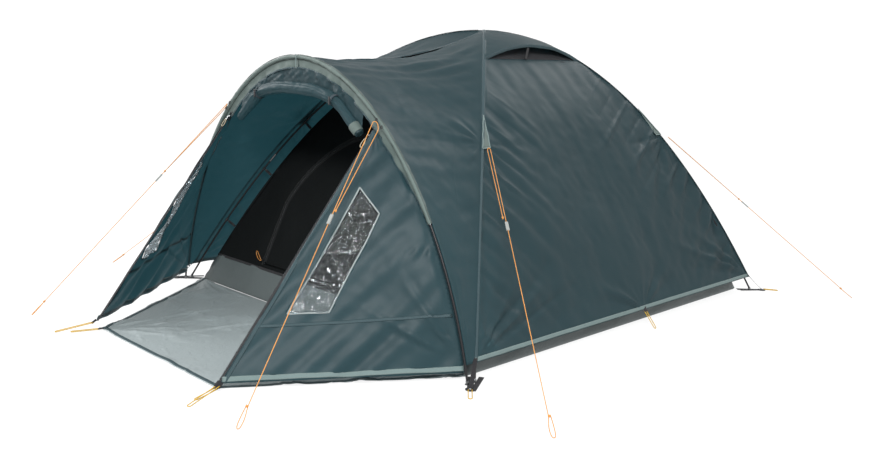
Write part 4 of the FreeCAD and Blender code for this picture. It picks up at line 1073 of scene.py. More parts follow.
def panel_place(y, z):
    """Panel coordinates of the point of the right panel over (y, z)."""
    best = np.array([0.5, 0.5])
    for _ in range(9):
        here = panel_point(best[None], RIGHT)[0][1:]
        step = 1e-4
        grad = np.stack([(panel_point((best + d)[None], RIGHT)[0][1:] - here) / step
                         for d in (np.array([step, 0]), np.array([0, step]))], -1)
        best = best + np.linalg.solve(grad, np.array([y, z]) - here)
    return best


window = []
for corner, following in zip(WINDOW, WINDOW[1:] + WINDOW[:1]):
    for share in np.linspace(0, 1, 9)[:-1]:
        window.append(panel_place(*(np.array(corner) * (1 - share) + np.array(following) * share)))
window = np.array(window)
WIDTH_SCALE, HEIGHT_SCALE = 0.45, 0.95
stretch = np.array([WIDTH_SCALE, HEIGHT_SCALE])


def panel_height(side):
    seed = 171 if side == RIGHT else 181
    base = packed(seed, 0.8)
    out = np.array([side * 0.75, -0.55, 0.25])
    peg = DOOR_FOOT * np.array([side, 1, 1])
    rays = fan(peg, (side * 0.45, 0.50, 0.75), out, 1.1, 8, 0.55, 0.013, 0.0062, 172)
    rays += fan(DOOR_TOP * np.array([side, 1, 1]), (side * 0.3, -0.15, -1.0), out, 0.7, 7,
                0.55, 0.012, 0.0056, 173)
    rays += fan((side * 0.955, -1.07, 0.07), (-side * 0.6, -0.35, 0.75), out, 1.0, 7, 0.45,
                0.012, 0.0050, 174)
    rays += fan((side * 0.80, -1.08, 0.545), (-side * 0.3, -0.3, -1.0), out, 0.8, 5, 0.35,
                0.011, 0.0040, 175)

    def height(points):
        drawn = streaks(points, seed + 8, 0.080, (side * 0.35, 0.62, 0.70))
        return base(points) + 2.0 * folds(points, rays) + 0.0042 * drawn
    return height


for side, name in SIDES:
    height = panel_height(side)
    outline = np.array([(0, 0), (1, 0), (1, 1), (0, 1)], float) * stretch
    flat, faces = cut_sheet(outline, [window * stretch], 0.009)
    points = panel_point(flat / stretch, side)
    normals = vertex_normals(points, faces)
    if (normals[:, 0].mean() > 0) != (side > 0):
        faces, normals = faces[:, ::-1], -normals
    calm = edge_taper(flat[:, 0] / WIDTH_SCALE, 0.0, 1.02, 0.06)
    points = points + normals * (height(points) * calm)[:, None]
    obj = make_mesh("porch_panel_cloth_" + name, points, faces, M["fly"], flat)
    finish_piece(thicken(obj, 0.0012), ROOT, ["porch_panel_" + name])

    flat, faces = cut_sheet(window * stretch, [], 0.006)
    points = panel_point(flat / stretch, side)
    normals = vertex_normals(points, faces)
    if (normals[:, 0].mean() > 0) != (side > 0):
        faces, normals = faces[:, ::-1], -normals
    crinkle = (0.0016 * Waves(190 + side, 0.045)(points) + 0.0009 * Waves(192 + side, 0.018)(points)
               + 0.0020 * creases(points, 194 + side, 0.10, 0.12)
               - 0.0016 * creases(points, 196 + side, 0.07, 0.12))
    points = points + normals * (crinkle - 0.0004 + height(points) * 0.6)[:, None]
    obj = make_mesh("porch_window_film_" + name, points, faces, M["film"], flat)
    finish_piece(thicken(obj, 0.0006), ROOT, ["porch_window_" + name])

    loop = []
    for a, b in zip(window, np.roll(window, -1, 0)):
        loop += [a + (b - a) * i / 4 for i in range(4)]
    loop = panel_point(np.array(loop), side)
    out = normalised(np.cross(*(np.diff(panel_point(window[[0, 8, 16]], side), axis=0))))
    out = out if out[0] * side > 0 else -out
    lifted = loop + out * (height(loop)[:, None])
    tape("window_binding_" + name, lifted, out, 0.0055, M["trim"], 0.0016, 0.0012,
         closed=True)
    line = panel_point(np.stack([np.linspace(0.01, 0.985, 60), np.full(60, PANEL_SEAM)], -1),
                       side)
    tape("panel_seam_cross_" + name, line + out * height(line)[:, None], out, 0.012, M["seam"],
         0.0014, 0.0009)
    edge = panel_point(np.stack([np.full(90, 0.985), np.linspace(0.004, 0.998, 90)], -1), side)
    tape("panel_door_edge_" + name, edge + out * height(edge)[:, None] * 0.3, out, 0.014,
         M["seam"], 0.0014, 0.0012)
    foot = panel_point(np.stack([np.linspace(0.0, 1.0, 70), np.full(70, 0.985)], -1), side)
    tape("porch_hem_tape_" + name, foot + out * height(foot)[:, None], out, 0.018, M["hem"],
         0.0024, 0.0014, ROOT, ["hem_tape"])

# ------------------------------------------------------------- hem tapes

foot_share = share_at(FLY, HEM + 0.010)
for side, name in SIDES:
    v = np.linspace(-1, 1, 160)
    line = np.stack([np.full(160, side * FLY[0] * foot_share), FLY[1] * foot_share * v,
                     np.full(160, HEM + 0.010)], -1)
    out = normalised(np.array([side * 1.0, 0, 0.38]))
    line += out * side_height(side)(line)[:, None]
    tape("side_hem_tape_" + name, line, out, 0.016, M["hem"], 0.0022, 0.0014, ROOT,
         ["hem_tape"])
line = np.stack([FLY[0] * foot_share * np.linspace(-1, 1, 160),
                 np.full(160, FLY[1] * foot_share), np.full(160, HEM + 0.010)], -1)
out = normalised(np.array([0, 1.0, 0.38]))
line += out * rear_height()(line)[:, None]
tape("rear_hem_tape", line, out, 0.016, M["hem"], 0.0022, 0.0014, ROOT, ["hem_tape"])

# ------------------------------------------------------------- porch zips

DOOR_WAY = np.array([-0.01608, -0.62179, -0.78302])
for side, name in SIDES:
    mirror = np.array([side, 1, 1])
    face = np.cross([1, 0, 0], DOOR_WAY)
    face = normalised(face if face[1] < 0 else -face) * mirror
    way = DOOR_WAY * mirror
    top = (DOOR_TOP + np.array([-0.012, 0, 0])) * mirror
    length = np.linalg.norm(DOOR_FOOT - DOOR_TOP) - 0.004
    across = normalised(np.cross(face, way))
    meshes = []
    for track, phase in ((-1, 0.0), (1, 0.5)):
        turns = int(length / 0.0032)
        t = np.linspace(0, turns, turns * 8)
        centre = top + way * (length * t / turns)[:, None] + across * (track * 0.0011)
        coil = (centre + across * (np.cos(2 * math.pi * (t + phase)) * 0.0014)[:, None]
                + face * (np.sin(2 * math.pi * (t + phase)) * 0.0011)[:, None])
        meshes.append(tube_mesh(coil, np.full(len(coil), 0.00045), 5, False))
    obj = join_meshes("door_zip_coil_" + name, meshes, M["zip"])
    finish_piece(obj, ROOT, ["door_zips"])
    line = top + way * np.linspace(0, length, 80)[:, None]
    outer = line + np.array([side * 0.0065, 0, 0])
    tape("door_zip_tape_" + name, outer, face, 0.0115, M["web"], -0.0004, 0.0007, ROOT,
         ["door_zips"])

# ------------------------------------------------------------- bedroom

INNER_DOOR = (0.470, 0.152, 0.780)


def door_outline(margin):
    half = INNER_DOOR[0] + margin
    low, top = INNER_DOOR[1] - margin, INNER_DOOR[2] + margin
    rise = 0.75 * half
    radius = (half ** 2 + rise ** 2) / (2 * rise)
    sweep = math.asin(half / radius)
    head = [(radius * math.sin(a), top - radius + radius * math.cos(a))
            for a in np.linspace(sweep, -sweep, 40)]
    return np.array([(-half, low), (half, low)] + head)


def inner_hang(seed, amount=1.0):
    """A loose inner tent: soft vertical folds and slack between its hooks."""
    wide, mid, fine = (Waves(seed, 0.42, stretch=(1, 1, 2.2)),
                       Waves(seed + 1, 0.14, stretch=(1, 1, 1.8)), Waves(seed + 2, 0.05))

    def height(points):
        return amount * (0.0050 * wide(points) + 0.0018 * mid(points)
                         + 0.0005 * fine(points) - 0.004)
    return height


def inner_grid_height(seed, axis, half):
    base = inner_hang(seed)

    def height(points):
        k = np.sqrt(np.clip(1 - points[:, 2] / INNER[2], 0, 1))
        v = points[:, axis] / (half * np.maximum(k, 1e-6))
        keep = edge_taper(v, -1.0, 1.0, 0.05) * edge_taper(k, 0.0, 0.945, 0.06)
        return base(points) * keep - 0.012 * (1 - v ** 2) * edge_taper(k, 0.0, 0.945, 0.4)
    return height


foot = share_at(INNER, FLOOR_WALL)
for side, name in SIDES:
    obj, _ = cloth_grid("inner_side_cloth_" + name, side_grid(INNER, side, 0.004, foot, 90, 110),
                        M["inner"], inner_grid_height(210 + side, 1, INNER[1]))
    finish_piece(obj, ROOT, ["inner_side_" + name])
obj, _ = cloth_grid("inner_rear_cloth", end_grid(INNER, 1, 0.004, foot, 90, 110), M["inner"],
                    inner_grid_height(214, 0, INNER[0]))
finish_piece(obj, ROOT, ["inner_rear"])


def front_wall(flat, stand_off=0.0):
    """Points of the bedroom's front wall over (x, z)."""
    y = -INNER[1] * np.sqrt(np.clip(1 - flat[:, 1] / INNER[2], 0, 1)) - stand_off
    return np.stack([flat[:, 0], y, flat[:, 1]], -1)


edge = np.linspace(foot, 0.03, 60)
outline = np.concatenate([np.stack([INNER[0] * edge, INNER[2] * (1 - edge ** 2)], -1),
                          np.stack([-INNER[0] * edge[::-1], INNER[2] * (1 - edge[::-1] ** 2)],
                                   -1)])
hang = inner_hang(220, 0.8)
door_rays = fan((-0.47, -0.935, 0.16), (0.6, 0.3, 0.9), (0, -1, 0.4), 1.2, 6, 0.40, 0.012, 0.004,
                221)
door_rays += fan((0.47, -0.935, 0.16), (-0.6, 0.3, 0.9), (0, -1, 0.4), 1.2, 6, 0.40, 0.012,
                 0.004, 222)
door_rays += fan((0, -0.60, 0.77), (0, -0.3, -1), (0, -1, 0.4), 1.6, 7, 0.35, 0.010, 0.003, 223)


def wall_piece(name, loop, holes, seed_height, stands_for, body, spacing=0.014):
    flat, faces = cut_sheet(loop, holes, spacing)
    points = front_wall(flat)
    normals = vertex_normals(points, faces)
    if normals[:, 1].mean() > 0:
        faces, normals = faces[:, ::-1], -normals
    points = points + normals * seed_height(points, flat)[:, None]
    obj = make_mesh(name, points, faces, M["inner"], flat)
    return finish_piece(thicken(obj, 0.0010), body, stands_for)


door_loop = door_outline(0.0)


def away_from_door(flat):
    """Distance from the door's line, in metres, up to 6 cm."""
    best = np.full(len(flat), 0.06)
    for a, b in zip(door_loop, np.roll(door_loop, -1, 0)):
        span = b - a
        t = np.clip(((flat - a) @ span) / (span @ span), 0, 1)
        best = np.minimum(best, np.linalg.norm(flat - a - t[:, None] * span, axis=1))
    return best / 0.06


wall_piece("inner_front_cloth", outline, [door_outline(0.0028)],
           lambda p, f: hang(p) * away_from_door(f) * edge_taper(p[:, 2], 0.13, 2.0, 0.05),
           ["inner_front"], ROOT)
wall_piece("inner_door_cloth", door_loop, [],
           lambda p, f: (hang(p) + folds(p, door_rays)) * away_from_door(f),
           ["inner_door"], "bedroom_door")


def loop_3d(margin, stand_off):
    loop = door_outline(margin)
    dense = []
    for a, b in zip(loop[1:], loop[2:]):
        steps = max(1, int(np.linalg.norm(b - a) / 0.012))
        dense += [a + (b - a) * i / steps for i in range(steps)]
    dense += list(np.linspace(loop[-1], loop[0], 30))
    return front_wall(np.array(dense), stand_off)


for margin, tag, body, slot_name in ((0.0085, "outer", ROOT, "inner_cloth"),
                                     (-0.0075, "inner", "bedroom_door", "inner_cloth")):
    line = loop_3d(margin, 0.0)
    normals = np.stack([np.zeros(len(line)), np.full(len(line), -1.0),
                        np.full(len(line), 0.45)], -1)
    tape("bedroom_zip_tape_" + tag, line, normals, 0.012, M["inner_tape"], 0.0014, 0.0009,
         body)
line = loop_3d(0.0015, 0.0)
way = normalised(np.gradient(line, axis=0))
out = normalised(np.array([0, -1.0, 0.45]))
across = normalised(np.cross(out, way))
reach = np.concatenate([[0], np.cumsum(np.linalg.norm(np.diff(line, axis=0), axis=1))])
s = np.linspace(0, reach[-1], int(reach[-1] / 0.0007))
centre = np.stack([np.interp(s, reach, line[:, i]) for i in range(3)], -1)
cross = np.stack([np.interp(s, reach, across[:, i]) for i in range(3)], -1)
coil = (centre + cross * (0.0013 * np.cos(s * 2 * math.pi / 0.0034))[:, None]
        + out * (0.0010 * np.sin(s * 2 * math.pi / 0.0034))[:, None])
p, f, u = tube_mesh(coil, np.full(len(coil), 0.0006), 5, False)
finish_piece(make_mesh("bedroom_zip_coil", p, f, M["zip"], u), ROOT, ["inner_zip"])
wall_seam = front_wall(np.stack([np.zeros(40), np.linspace(0.79, 1.16, 40)], -1))
tape("inner_front_seam", wall_seam, [0, -1.0, 0.6], 0.012, M["inner_tape"], 0.0012, 0.0008)

# Floor tray: floor cloth, leaning walls, corner folds and taped edges.
LEAN = share_at(INNER, FLOOR_WALL)
HALF = np.array([0.9, 1.0])
sections = ([(0.0, f) for f in np.linspace(0.0, 0.965, 60)] + [(0.0, 0.985), (0.0005, 0.994)]
            + [(z, 1 - (1 - LEAN) * z / FLOOR_WALL) for z in np.linspace(0.006, 0.130, 16)])
corner = [(1, -1), (1, 1), (-1, 1), (-1, -1)]
around = []
for (ax, ay), (bx, by) in zip(corner, corner[1:] + corner[:1]):
    for t in np.linspace(0, 1, 40, endpoint=False):
        around.append((ax + (bx - ax) * t, ay + (by - ay) * t))
around = np.array(around)
grid = []
floor_wave, floor_fine = Waves(230, 0.35), Waves(231, 0.09)
for z, f in sections:
    ring = np.concatenate([around * HALF * f, np.full((len(around), 1), z)], 1)
    inside_floor = z == 0.0
    lift = 0.0012 + 0.0022 * np.clip(floor_wave(ring), -0.4, 1.5) + 0.0008 * floor_fine(ring) \
        + 0.0018 * creases(ring, 232, 0.30, 0.08)
    if inside_floor:
        ring[:, 2] += np.clip(lift, 0.0002, 0.008) * min(1.0, (0.985 - f) / 0.05)
    else:
        outward = np.stack([around[:, 0] * (abs(around[:, 0]) > 0.999),
                            around[:, 1] * (abs(around[:, 1]) > 0.999)], -1)
        ring[:, :2] += outward * (0.0018 * Waves(233, 0.16)(ring)
                                  + 0.0012 * Waves(234, 0.05)(ring))[:, None] \
            * min(1.0, z / 0.03) * min(1.0, (0.135 - z) / 0.02)
    grid.append(ring)
grid = np.array(grid)
uv = np.concatenate([grid[..., :1], grid[..., 1:2] + grid[..., 2:3]], -1).reshape(-1, 2)
obj = make_mesh("floor_tray_cloth", grid.reshape(-1, 3),
                grid_faces(len(sections), len(around), True), M["tub"], uv)
finish_piece(thicken(obj, 0.0010), ROOT, ["bathtub_floor"])
rim = np.concatenate([around * HALF * LEAN, np.full((len(around), 1), 0.128)], 1)
rim_out = np.concatenate([around * (np.abs(around) > 0.999), np.full((len(around), 1), 0.5)], 1)
tape("floor_tray_binding", rim, rim_out, 0.012, M["web"], 0.0012, 0.0010,
     closed=True)

# ------------------------------------------------------------- porch groundsheet

rows, columns = 110, 170
down, across = np.meshgrid(np.linspace(0, 1, rows), np.linspace(-1, 1, columns), indexing="ij")
half = 0.905 + (0.430 - 0.905) * down
sheet = np.stack([across * half, -1.001 - 0.744 * down, np.full_like(down, 0.0012)], -1)
rays = []
for side in (RIGHT, LEFT):
    rays += fan((side * 0.43, -1.742, 0.0), (-side * 0.25, 1.0, 0), (0, 0, 1), 1.3, 8, 0.55,
                0.015, 0.0075, 240 + side)
    rays += fan((side * 0.90, -1.01, 0.0), (-side * 0.9, -0.5, 0), (0, 0, 1), 1.2, 7, 0.55,
                0.015, 0.0065, 243 + side)
for index, x in enumerate(np.linspace(-0.75, 0.75, 12)):
    rays.append(((x, -1.02, 0), (0.25 * (-1) ** index, -1, 0), 0.45 + 0.1 * (index % 3), 0.013,
                 0.0050))
low, mid, fine = Waves(245, 0.34), Waves(246, 0.11), Waves(247, 0.035)
lift = (0.0028 * low(sheet) + 0.0012 * mid(sheet) + 0.0004 * fine(sheet)
        + np.abs(folds(sheet, rays)) + 0.0024 * creases(sheet, 248, 0.26, 0.08)
        + 0.0016 * creases(sheet, 249, 0.17, 0.08))
sheet[..., 2] += np.clip(lift, 0, 0.0105)
obj = make_mesh("groundsheet_cloth", sheet.reshape(-1, 3), grid_faces(rows, columns), M["ground"],
                sheet[..., :2].reshape(-1, 2))
finish_piece(thicken(obj, 0.0009), ROOT, ["porch_groundsheet"])
up = np.array([0, 0, 1.0])
for tag, line in (("front", sheet[-3]), ("right", sheet[:, -3]), ("left", sheet[:, 2])):
    tape("groundsheet_hem_" + tag, line, up, 0.016, M["seam"], 0.0010, 0.0008)

# ------------------------------------------------------------- poles and fittings

POLE = np.array([0.968, 1.050 * 0.968 / 0.985, 1.250 - 0.002 - 0.0035 - 0.00425])
for node in ("dome_pole_front_left", "dome_pole_front_right", "porch_pole"):
    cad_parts[node].data.materials.clear()
    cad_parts[node].data.materials.append(M["pole"])
PAINTED = {"pole_ferrules": "steel", "pole_tips": "steel", "pole_eyelets": "steel",
           "peg_eyelets": "steel", "shock_cords": "elastic", "zip_slider_right": "slider",
           "zip_slider_left": "slider", "inner_zip_slider": "slider",
           "vent_prop_right": "pole", "vent_prop_left": "pole"}
for place in ("front", "side", "rear"):
    for _, name in SIDES:
        PAINTED["runner_%s_%s" % (place, name)] = "runner"
for node, material in PAINTED.items():
    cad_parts[node].data.materials.clear()
    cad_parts[node].data.materials.append(M[material])


def pole_shell(side_x, side_y):
    lower = side_x * side_y > 0
    return POLE - np.array([0, 0, 0.009 if lower else 0])


CLIP_SHARES = (0.28, 0.45, 0.60, 0.74, 0.87)
hooks, straps = [], []
for side_x in (RIGHT, LEFT):
    for side_y in (-1, 1):
        shell = pole_shell(side_x, side_y)
        for share in CLIP_SHARES:
            here = ridge(shell, share, side_x, side_y)
            way = normalised(np.array([side_x * shell[0], side_y * shell[1],
                                       -2 * shell[2] * share]))
            reach = ridge(INNER, share, side_x, side_y) - here
            reach = reach - way * (reach @ way)
            inward, across = normalised(reach), np.cross(way, normalised(reach))
            turn = np.linspace(-2.45, 2.45, 26)
            ring = here + 0.0058 * (inward * np.cos(turn)[:, None]
                                    + across * np.sin(turn)[:, None])
            for offset in (-0.0042, 0.0, 0.0042):
                hooks.append(tube_mesh(ring + way * offset, np.full(26, 0.0016), 8))
            stem = here + inward * np.linspace(0.006, 0.016, 6)[:, None]
            hooks.append(tube_mesh(stem, np.full(6, 0.0038), 10))
            line = here + inward * np.linspace(0.014, np.linalg.norm(reach) * 0.97, 14)[:, None]
            line = line + across * (0.0012 * np.sin(np.linspace(0, 9, 14)))[:, None]
            sides5 = np.linspace(-0.5, 0.5, 5)
            strap = line[:, None] + way * (0.012 * sides5)[None, :, None]
            along = np.linspace(0, np.linalg.norm(reach), 14)
            uv = np.stack(np.broadcast_arrays(along[:, None], sides5[None] + 0.5), -1)
            straps.append((strap.reshape(-1, 3), grid_faces(14, 5).tolist(), uv.reshape(-1, 2)))
finish_piece(join_meshes("pole_clip_hooks", hooks, M["black"]), ROOT,
             ["pole_clips"])
finish_piece(thicken(join_meshes("pole_clip_straps", straps, M["web"]), 0.0012),
             ROOT, ["pole_clips"])

# Corner webbing: a flat strap from the floor corner, folded round the peg ring.
for side_x, nx in SIDES:
    for side_y, ny in ((-1, "front"), (1, "rear")):
        def place(out_x, out_y, z):
            return np.array([side_x * (0.9 + out_x), side_y * (1.0 + out_y), z])

        start, peg = place(0.012, -0.004, 0.0016), place(0.100, 0.086, 0.0016)
        way = normalised(peg - start)
        line = start + way * np.linspace(0.0, np.linalg.norm(peg - start) - 0.010, 24)[:, None]
        tape("corner_strap_%s_%s" % (ny, nx), line, up, 0.025, M["web"], 0.0002, 0.0016,
             ROOT, ["corner_webbing"])
        turn = np.linspace(0, 2 * math.pi, 48, endpoint=False)
        loop = peg + 0.0145 * np.stack([np.cos(turn), np.sin(turn), np.zeros(48)], -1)
        tape("corner_ring_strap_%s_%s" % (ny, nx), loop, up, 0.011, M["web"], 0.0002, 0.0014,
             ROOT, ["corner_webbing"], closed=True)
        foot_line = np.linspace(place(0.045, -0.030, 0.0034), place(0.118, 0.094, 0.0034), 14) \
            if side_y < 0 else np.linspace(place(0.035, -0.012, 0.0034),
                                           place(0.085, 0.055, 0.0034), 10)
        tape("foot_strap_%s_%s" % (ny, nx), foot_line, up, 0.020, M["web"], 0.0000, 0.0012,
             ROOT, ["corner_webbing"])
        # Ladder webbing that tensions the flysheet corner down to the peg.
        tail_top = ridge(FLY, share_at(FLY, 0.088), side_x, side_y)
        tail = np.linspace(tail_top, place(0.100, 0.086, 0.006), 20)
        tail[:, 2] -= 0.004 * np.sin(np.linspace(0, math.pi, 20))
        tail[0:3, 2] += 0.001
        tape("fly_corner_strap_%s_%s" % (ny, nx), tail, [side_x * 0.7, side_y * 0.7, 0.5], 0.016,
             M["web"], 0.0006, 0.0012)

# ------------------------------------------------------------- peg loops


def strap_loop(name, top, ground, width, half_gap, material, stands_for):
    """A flat elastic loop: two legs side by side, joined by a bend at the ground."""
    top, ground = np.asarray(top, float), np.asarray(ground, float)
    way = normalised(ground - top)
    across = normalised(np.cross(way, [0, 0, 1.0]))
    turn = np.linspace(0, math.pi, 14)
    centre = ground - way * half_gap
    bend = centre + half_gap * (across * np.cos(turn)[:, None] + way * np.sin(turn)[:, None])
    legs = np.linspace(top + across * half_gap, bend[0], 16)[:-1]
    back = np.linspace(bend[-1], top - across * half_gap, 16)[1:]
    path = np.concatenate([legs, bend, back])
    radius = np.full(len(path), width / 2)
    radius[1::2] *= 0.93
    p, f, u = tube_mesh(path, radius, 10)
    obj = make_mesh(name, p, f, material, u)
    return finish_piece(obj, ROOT, stands_for)


hem_x = FLY[0] * share_at(FLY, HEM)
for side, name in SIDES:
    m = np.array([side, 1, 1])
    for tag, top, ground in (
            ("side", (hem_x + 0.006, 0.061, 0.070), (hem_x + 0.064, 0.061, 0.0030)),
            ("front_corner", (1.008, -1.098, 0.0060), (1.060, -1.152, 0.0022)),
            ("rear_corner", (1.009, 1.094, 0.0060), (1.060, 1.142, 0.0022)),
            ("porch", (0.468, -1.762, 0.026), (0.512, -1.901, 0.0026)),
            ("sheet", (0.436, -1.750, 0.0040), (0.475, -1.853, 0.0024))):
        strap_loop("peg_loop_%s_%s" % (tag, name), np.array(top) * m, np.array(ground) * m,
                   0.0034, 0.0068, M["yellow"],
                   ["peg_loops"])
    tab_line = np.linspace((0.4645 * side, -1.7500, 0.036), (0.4685 * side, -1.768, 0.022), 8)
    tape("porch_peg_tab_" + name, tab_line, [side * 0.8, -0.6, 0.4], 0.022, M["web"], 0.001,
         0.0014)
    tab_line = np.linspace((side * (hem_x - 0.004), 0.061, 0.084),
                           (side * (hem_x + 0.010), 0.061, 0.066), 8)
    tape("side_peg_tab_" + name, tab_line, [side * 1.0, 0, 0.6], 0.022, M["web"], 0.0028, 0.0014)
    tab_line = np.linspace((0.425 * side, -1.738, 0.006), (0.438 * side, -1.756, 0.005), 8)
    tape("sheet_peg_tab_" + name, tab_line, up, 0.022, M["web"], 0.0006, 0.0012)

# ------------------------------------------------------------- guy points

for side, name in SIDES:
    for side_y, tag in ((-1, "front"), (1, "rear")):
        apex = ridge(FLY, 0.53, side, side_y)
        base = ridge(FLY, 0.615, side, side_y)
        inboard = base + np.array([0, -side_y * 0.046, 0])
        lift = np.array([side * 0.0042, side_y * 0.0020, 0.0028])
        grid = []
        for r in np.linspace(0, 1, 16):
            a = apex * (1 - r) + base * r
            b = apex * (1 - r) + inboard * r
            grid.append(np.linspace(a, b, 10))
        grid = np.array(grid) + lift
        puff = Waves(260 + side + side_y, 0.04)(grid) * 0.0007
        grid[..., 0] += side * puff
        obj = make_mesh("guy_tab_cloth_%s_%s" % (tag, name), grid.reshape(-1, 3),
                        grid_faces(16, 10), M["sage"], lengths_uv(grid))
        finish_piece(thicken(obj, 0.0014), ROOT, ["guy_tabs"])
        out = np.array([side * 1.0, side_y * 0.3, 0.7])
        for n, edge in enumerate((grid[:, 0], grid[:, -1], grid[-1])):
            tape("guy_tab_edge_%s_%s_%d" % (tag, name, n), edge, out, 0.005, M["hem"], 0.0010,
                 0.0008)

# ------------------------------------------------------------- cords

# Each route starts at its runner, turns at the tent, runs down to a loop round the peg and
# comes back to the knot above it.
ROUTES = {
    "front": [(589, -1366, 597), (520, -1122, 851), (516, -1110, 864), (500, -1101, 889),
              (487, -1110, 893), (491, -1120, 881), (752, -1815, 89), (761, -1839, 61),
              (778, -1860, 34), (785, -1884, 8), (772, -1889, 8), (761, -1866, 34),
              (756, -1841, 63)],
    "side": [(871, -807, 556), (632, -640, 769), (624, -634, 776), (622, -627, 783),
             (632, -627, 780), (640, -632, 773), (1383, -1152, 75), (1408, -1169, 52),
             (1428, -1193, 29), (1453, -1206, 8), (1461, -1195, 8), (1438, -1177, 29),
             (1408, -1160, 54)],
    "rear": [(922, 913, 473), (639, 692, 757), (632, 686, 764), (631, 678, 769),
             (640, 678, 764), (647, 684, 757), (1312, 1223, 78), (1336, 1243, 53),
             (1354, 1269, 29), (1377, 1285, 8), (1386, 1275, 8), (1365, 1255, 29),
             (1337, 1234, 55)],
}


def nurbs_cord(name, route, diameter, material):
    """One open quadratic spline with the route's points as its control points."""
    curve = bpy.data.curves.new(name, "CURVE")
    curve.dimensions = "3D"
    curve.bevel_depth = diameter / 2
    curve.bevel_resolution = 3
    curve.resolution_u = 12
    curve.use_fill_caps = True
    spline = curve.splines.new("NURBS")
    spline.points.add(len(route) - 1)
    for point, place in zip(spline.points, route):
        point.co = (*place, 1.0)
    spline.order_u = 3
    spline.use_endpoint_u = True
    curve.materials.append(material)
    obj = bpy.data.objects.new(name, curve)
    bpy.context.scene.collection.objects.link(obj)
    return obj


def knot(name, centre, way, size, material):
    """A small wrapped knot, its turns lying across the cord."""
    way = normalised(np.asarray(way, float))
    side_way = normalised(np.cross(way, [0.3, 0.2, 1.0]))
    other = np.cross(way, side_way)
    t = np.linspace(0, 3 * 2 * math.pi, 90)
    path = (np.asarray(centre) + way * (size * (t / t[-1] - 0.5) * 1.6)[:, None]
            + side_way * (np.cos(t) * size * 0.62)[:, None]
            + other * (np.sin(t) * size * 0.62)[:, None])
    p, f, u = tube_mesh(path, np.full(90, size * 0.36), 8)
    return make_mesh(name, p, f, material, u)


for place, route in ROUTES.items():
    for side, name in SIDES:
        points = np.array(route) / 1000 * np.array([side, 1, 1])
        tag = "%s_%s" % (place, name)
        cord = nurbs_cord("guy_cord_" + tag, points, 0.003, M["orange"])
        finish_piece(cord, ROOT, ["guyline_" + tag])
        low = knot("guy_knot_low_" + tag, (points[7] + points[12]) / 2 + np.array([0, 0, 0.001]),
                   points[7] - points[6], 0.0046, M["orange"])
        finish_piece(low)
        high = knot("guy_knot_high_" + tag, points[0] * 0.985 + points[2] * 0.015,
                    points[2] - points[0], 0.0042, M["orange"])
        finish_piece(high)
        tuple(points[0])
        if place == "front":
            loops = []
            for height in (0.872, 0.897):
                centre = arch(arch_share(height, SLEEVE_R), SLEEVE_R, side, SLEEVE_R + 0.0043)
                turn = np.linspace(0, 2 * math.pi, 24)
                ring = centre + np.stack([0.0040 * np.sin(turn), 0.0028 * np.cos(turn),
                                          0.0060 * np.cos(turn)], -1)
                loops.append(tube_mesh(ring, np.full(24, 0.0015), 8))
            finish_piece(join_meshes("hoop_guy_loops_" + name, loops, M["web"]),
                         ROOT, ["arch_guy_loops"])

# Pull cords on the zip sliders.
SLIDER_AT = np.array([0.46745, -1.11663, 0.83138])
PULL = [(3, 2, -0.5), (8, 14, -2), (9, 28, -3), (4, 38, -3), (-4, 38, -3), (-9, 28, -3),
        (-8, 14, -2), (-3, 2, -0.5)]
face = np.cross([1, 0, 0], DOOR_WAY)
face = normalised(face if face[1] < 0 else -face)
hole = SLIDER_AT + DOOR_WAY * 0.010 + face * (0.0092 / 2 + 0.005)
for side, name in SIDES:
    route = np.array([hole + np.array([a, 0, 0]) / 1000 + DOOR_WAY * d / 1000 + face * h / 1000
                      for a, d, h in PULL]) * np.array([side, 1, 1])
    cord = nurbs_cord("zip_pull_cord_" + name, route, 0.0025, M["cream"])
    finish_piece(cord, "door_slider_" + name, ["zip_pull_" + name])
    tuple(route[0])
INNER_WAY = np.array([0, 0.42907, 0.90327])
inner_face = normalised(np.cross([1, 0, 0], INNER_WAY))
inner_face = inner_face if inner_face[1] < 0 else -inner_face
tab = np.array([-0.4744, -0.93166, 0.174]) - INNER_WAY * 0.008 + inner_face * 0.006
INNER_PULL = [(-3, -5, -2), (-9, -8, -6), (-22, -12, 6), (-35, -12, 26), (-33, -11, 40),
              (-23, -10, 36), (-12, -10, 16), (1, -9, 2)]
route = tab + np.array(INNER_PULL) / 1000
cord = nurbs_cord("bedroom_zip_pull_cord", route, 0.0025, M["orange"])
finish_piece(cord, "bedroom_slider", ["inner_zip_pull"])
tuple(route[0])

# ------------------------------------------------------------- studio

floor = bpy.data.meshes.new("floor")
FLOOR = 30.0
floor.from_pydata([(-FLOOR, -FLOOR, -0.0012), (FLOOR, -FLOOR, -0.0012), (FLOOR, FLOOR, -0.0012),
                   (-FLOOR, FLOOR, -0.0012)], [], [(0, 1, 2, 3)])
floor_mat, nodes, links, out = new_material("floor_paint")
paint = nodes.new("ShaderNodeBsdfPrincipled")
set_inputs(paint, Base_Color=(0.16, 0.16, 0.16, 1), Roughness=0.9, Specular_IOR_Level=0.0,
           Emission_Color=(1, 1, 1, 1), Emission_Strength=0.84)
links.new(paint.outputs["BSDF"], out.inputs["Surface"])
floor.materials.append(floor_mat)
floor_obj = bpy.data.objects.new("floor", floor)
bpy.context.scene.collection.objects.link(floor_obj)

world = bpy.data.worlds.new("studio")
bpy.context.scene.world = world
world.use_nodes = True
world.node_tree.nodes["Background"].inputs["Color"].default_value = (1, 1, 1, 1)
world.node_tree.nodes["Background"].inputs["Strength"].default_value = 1.06


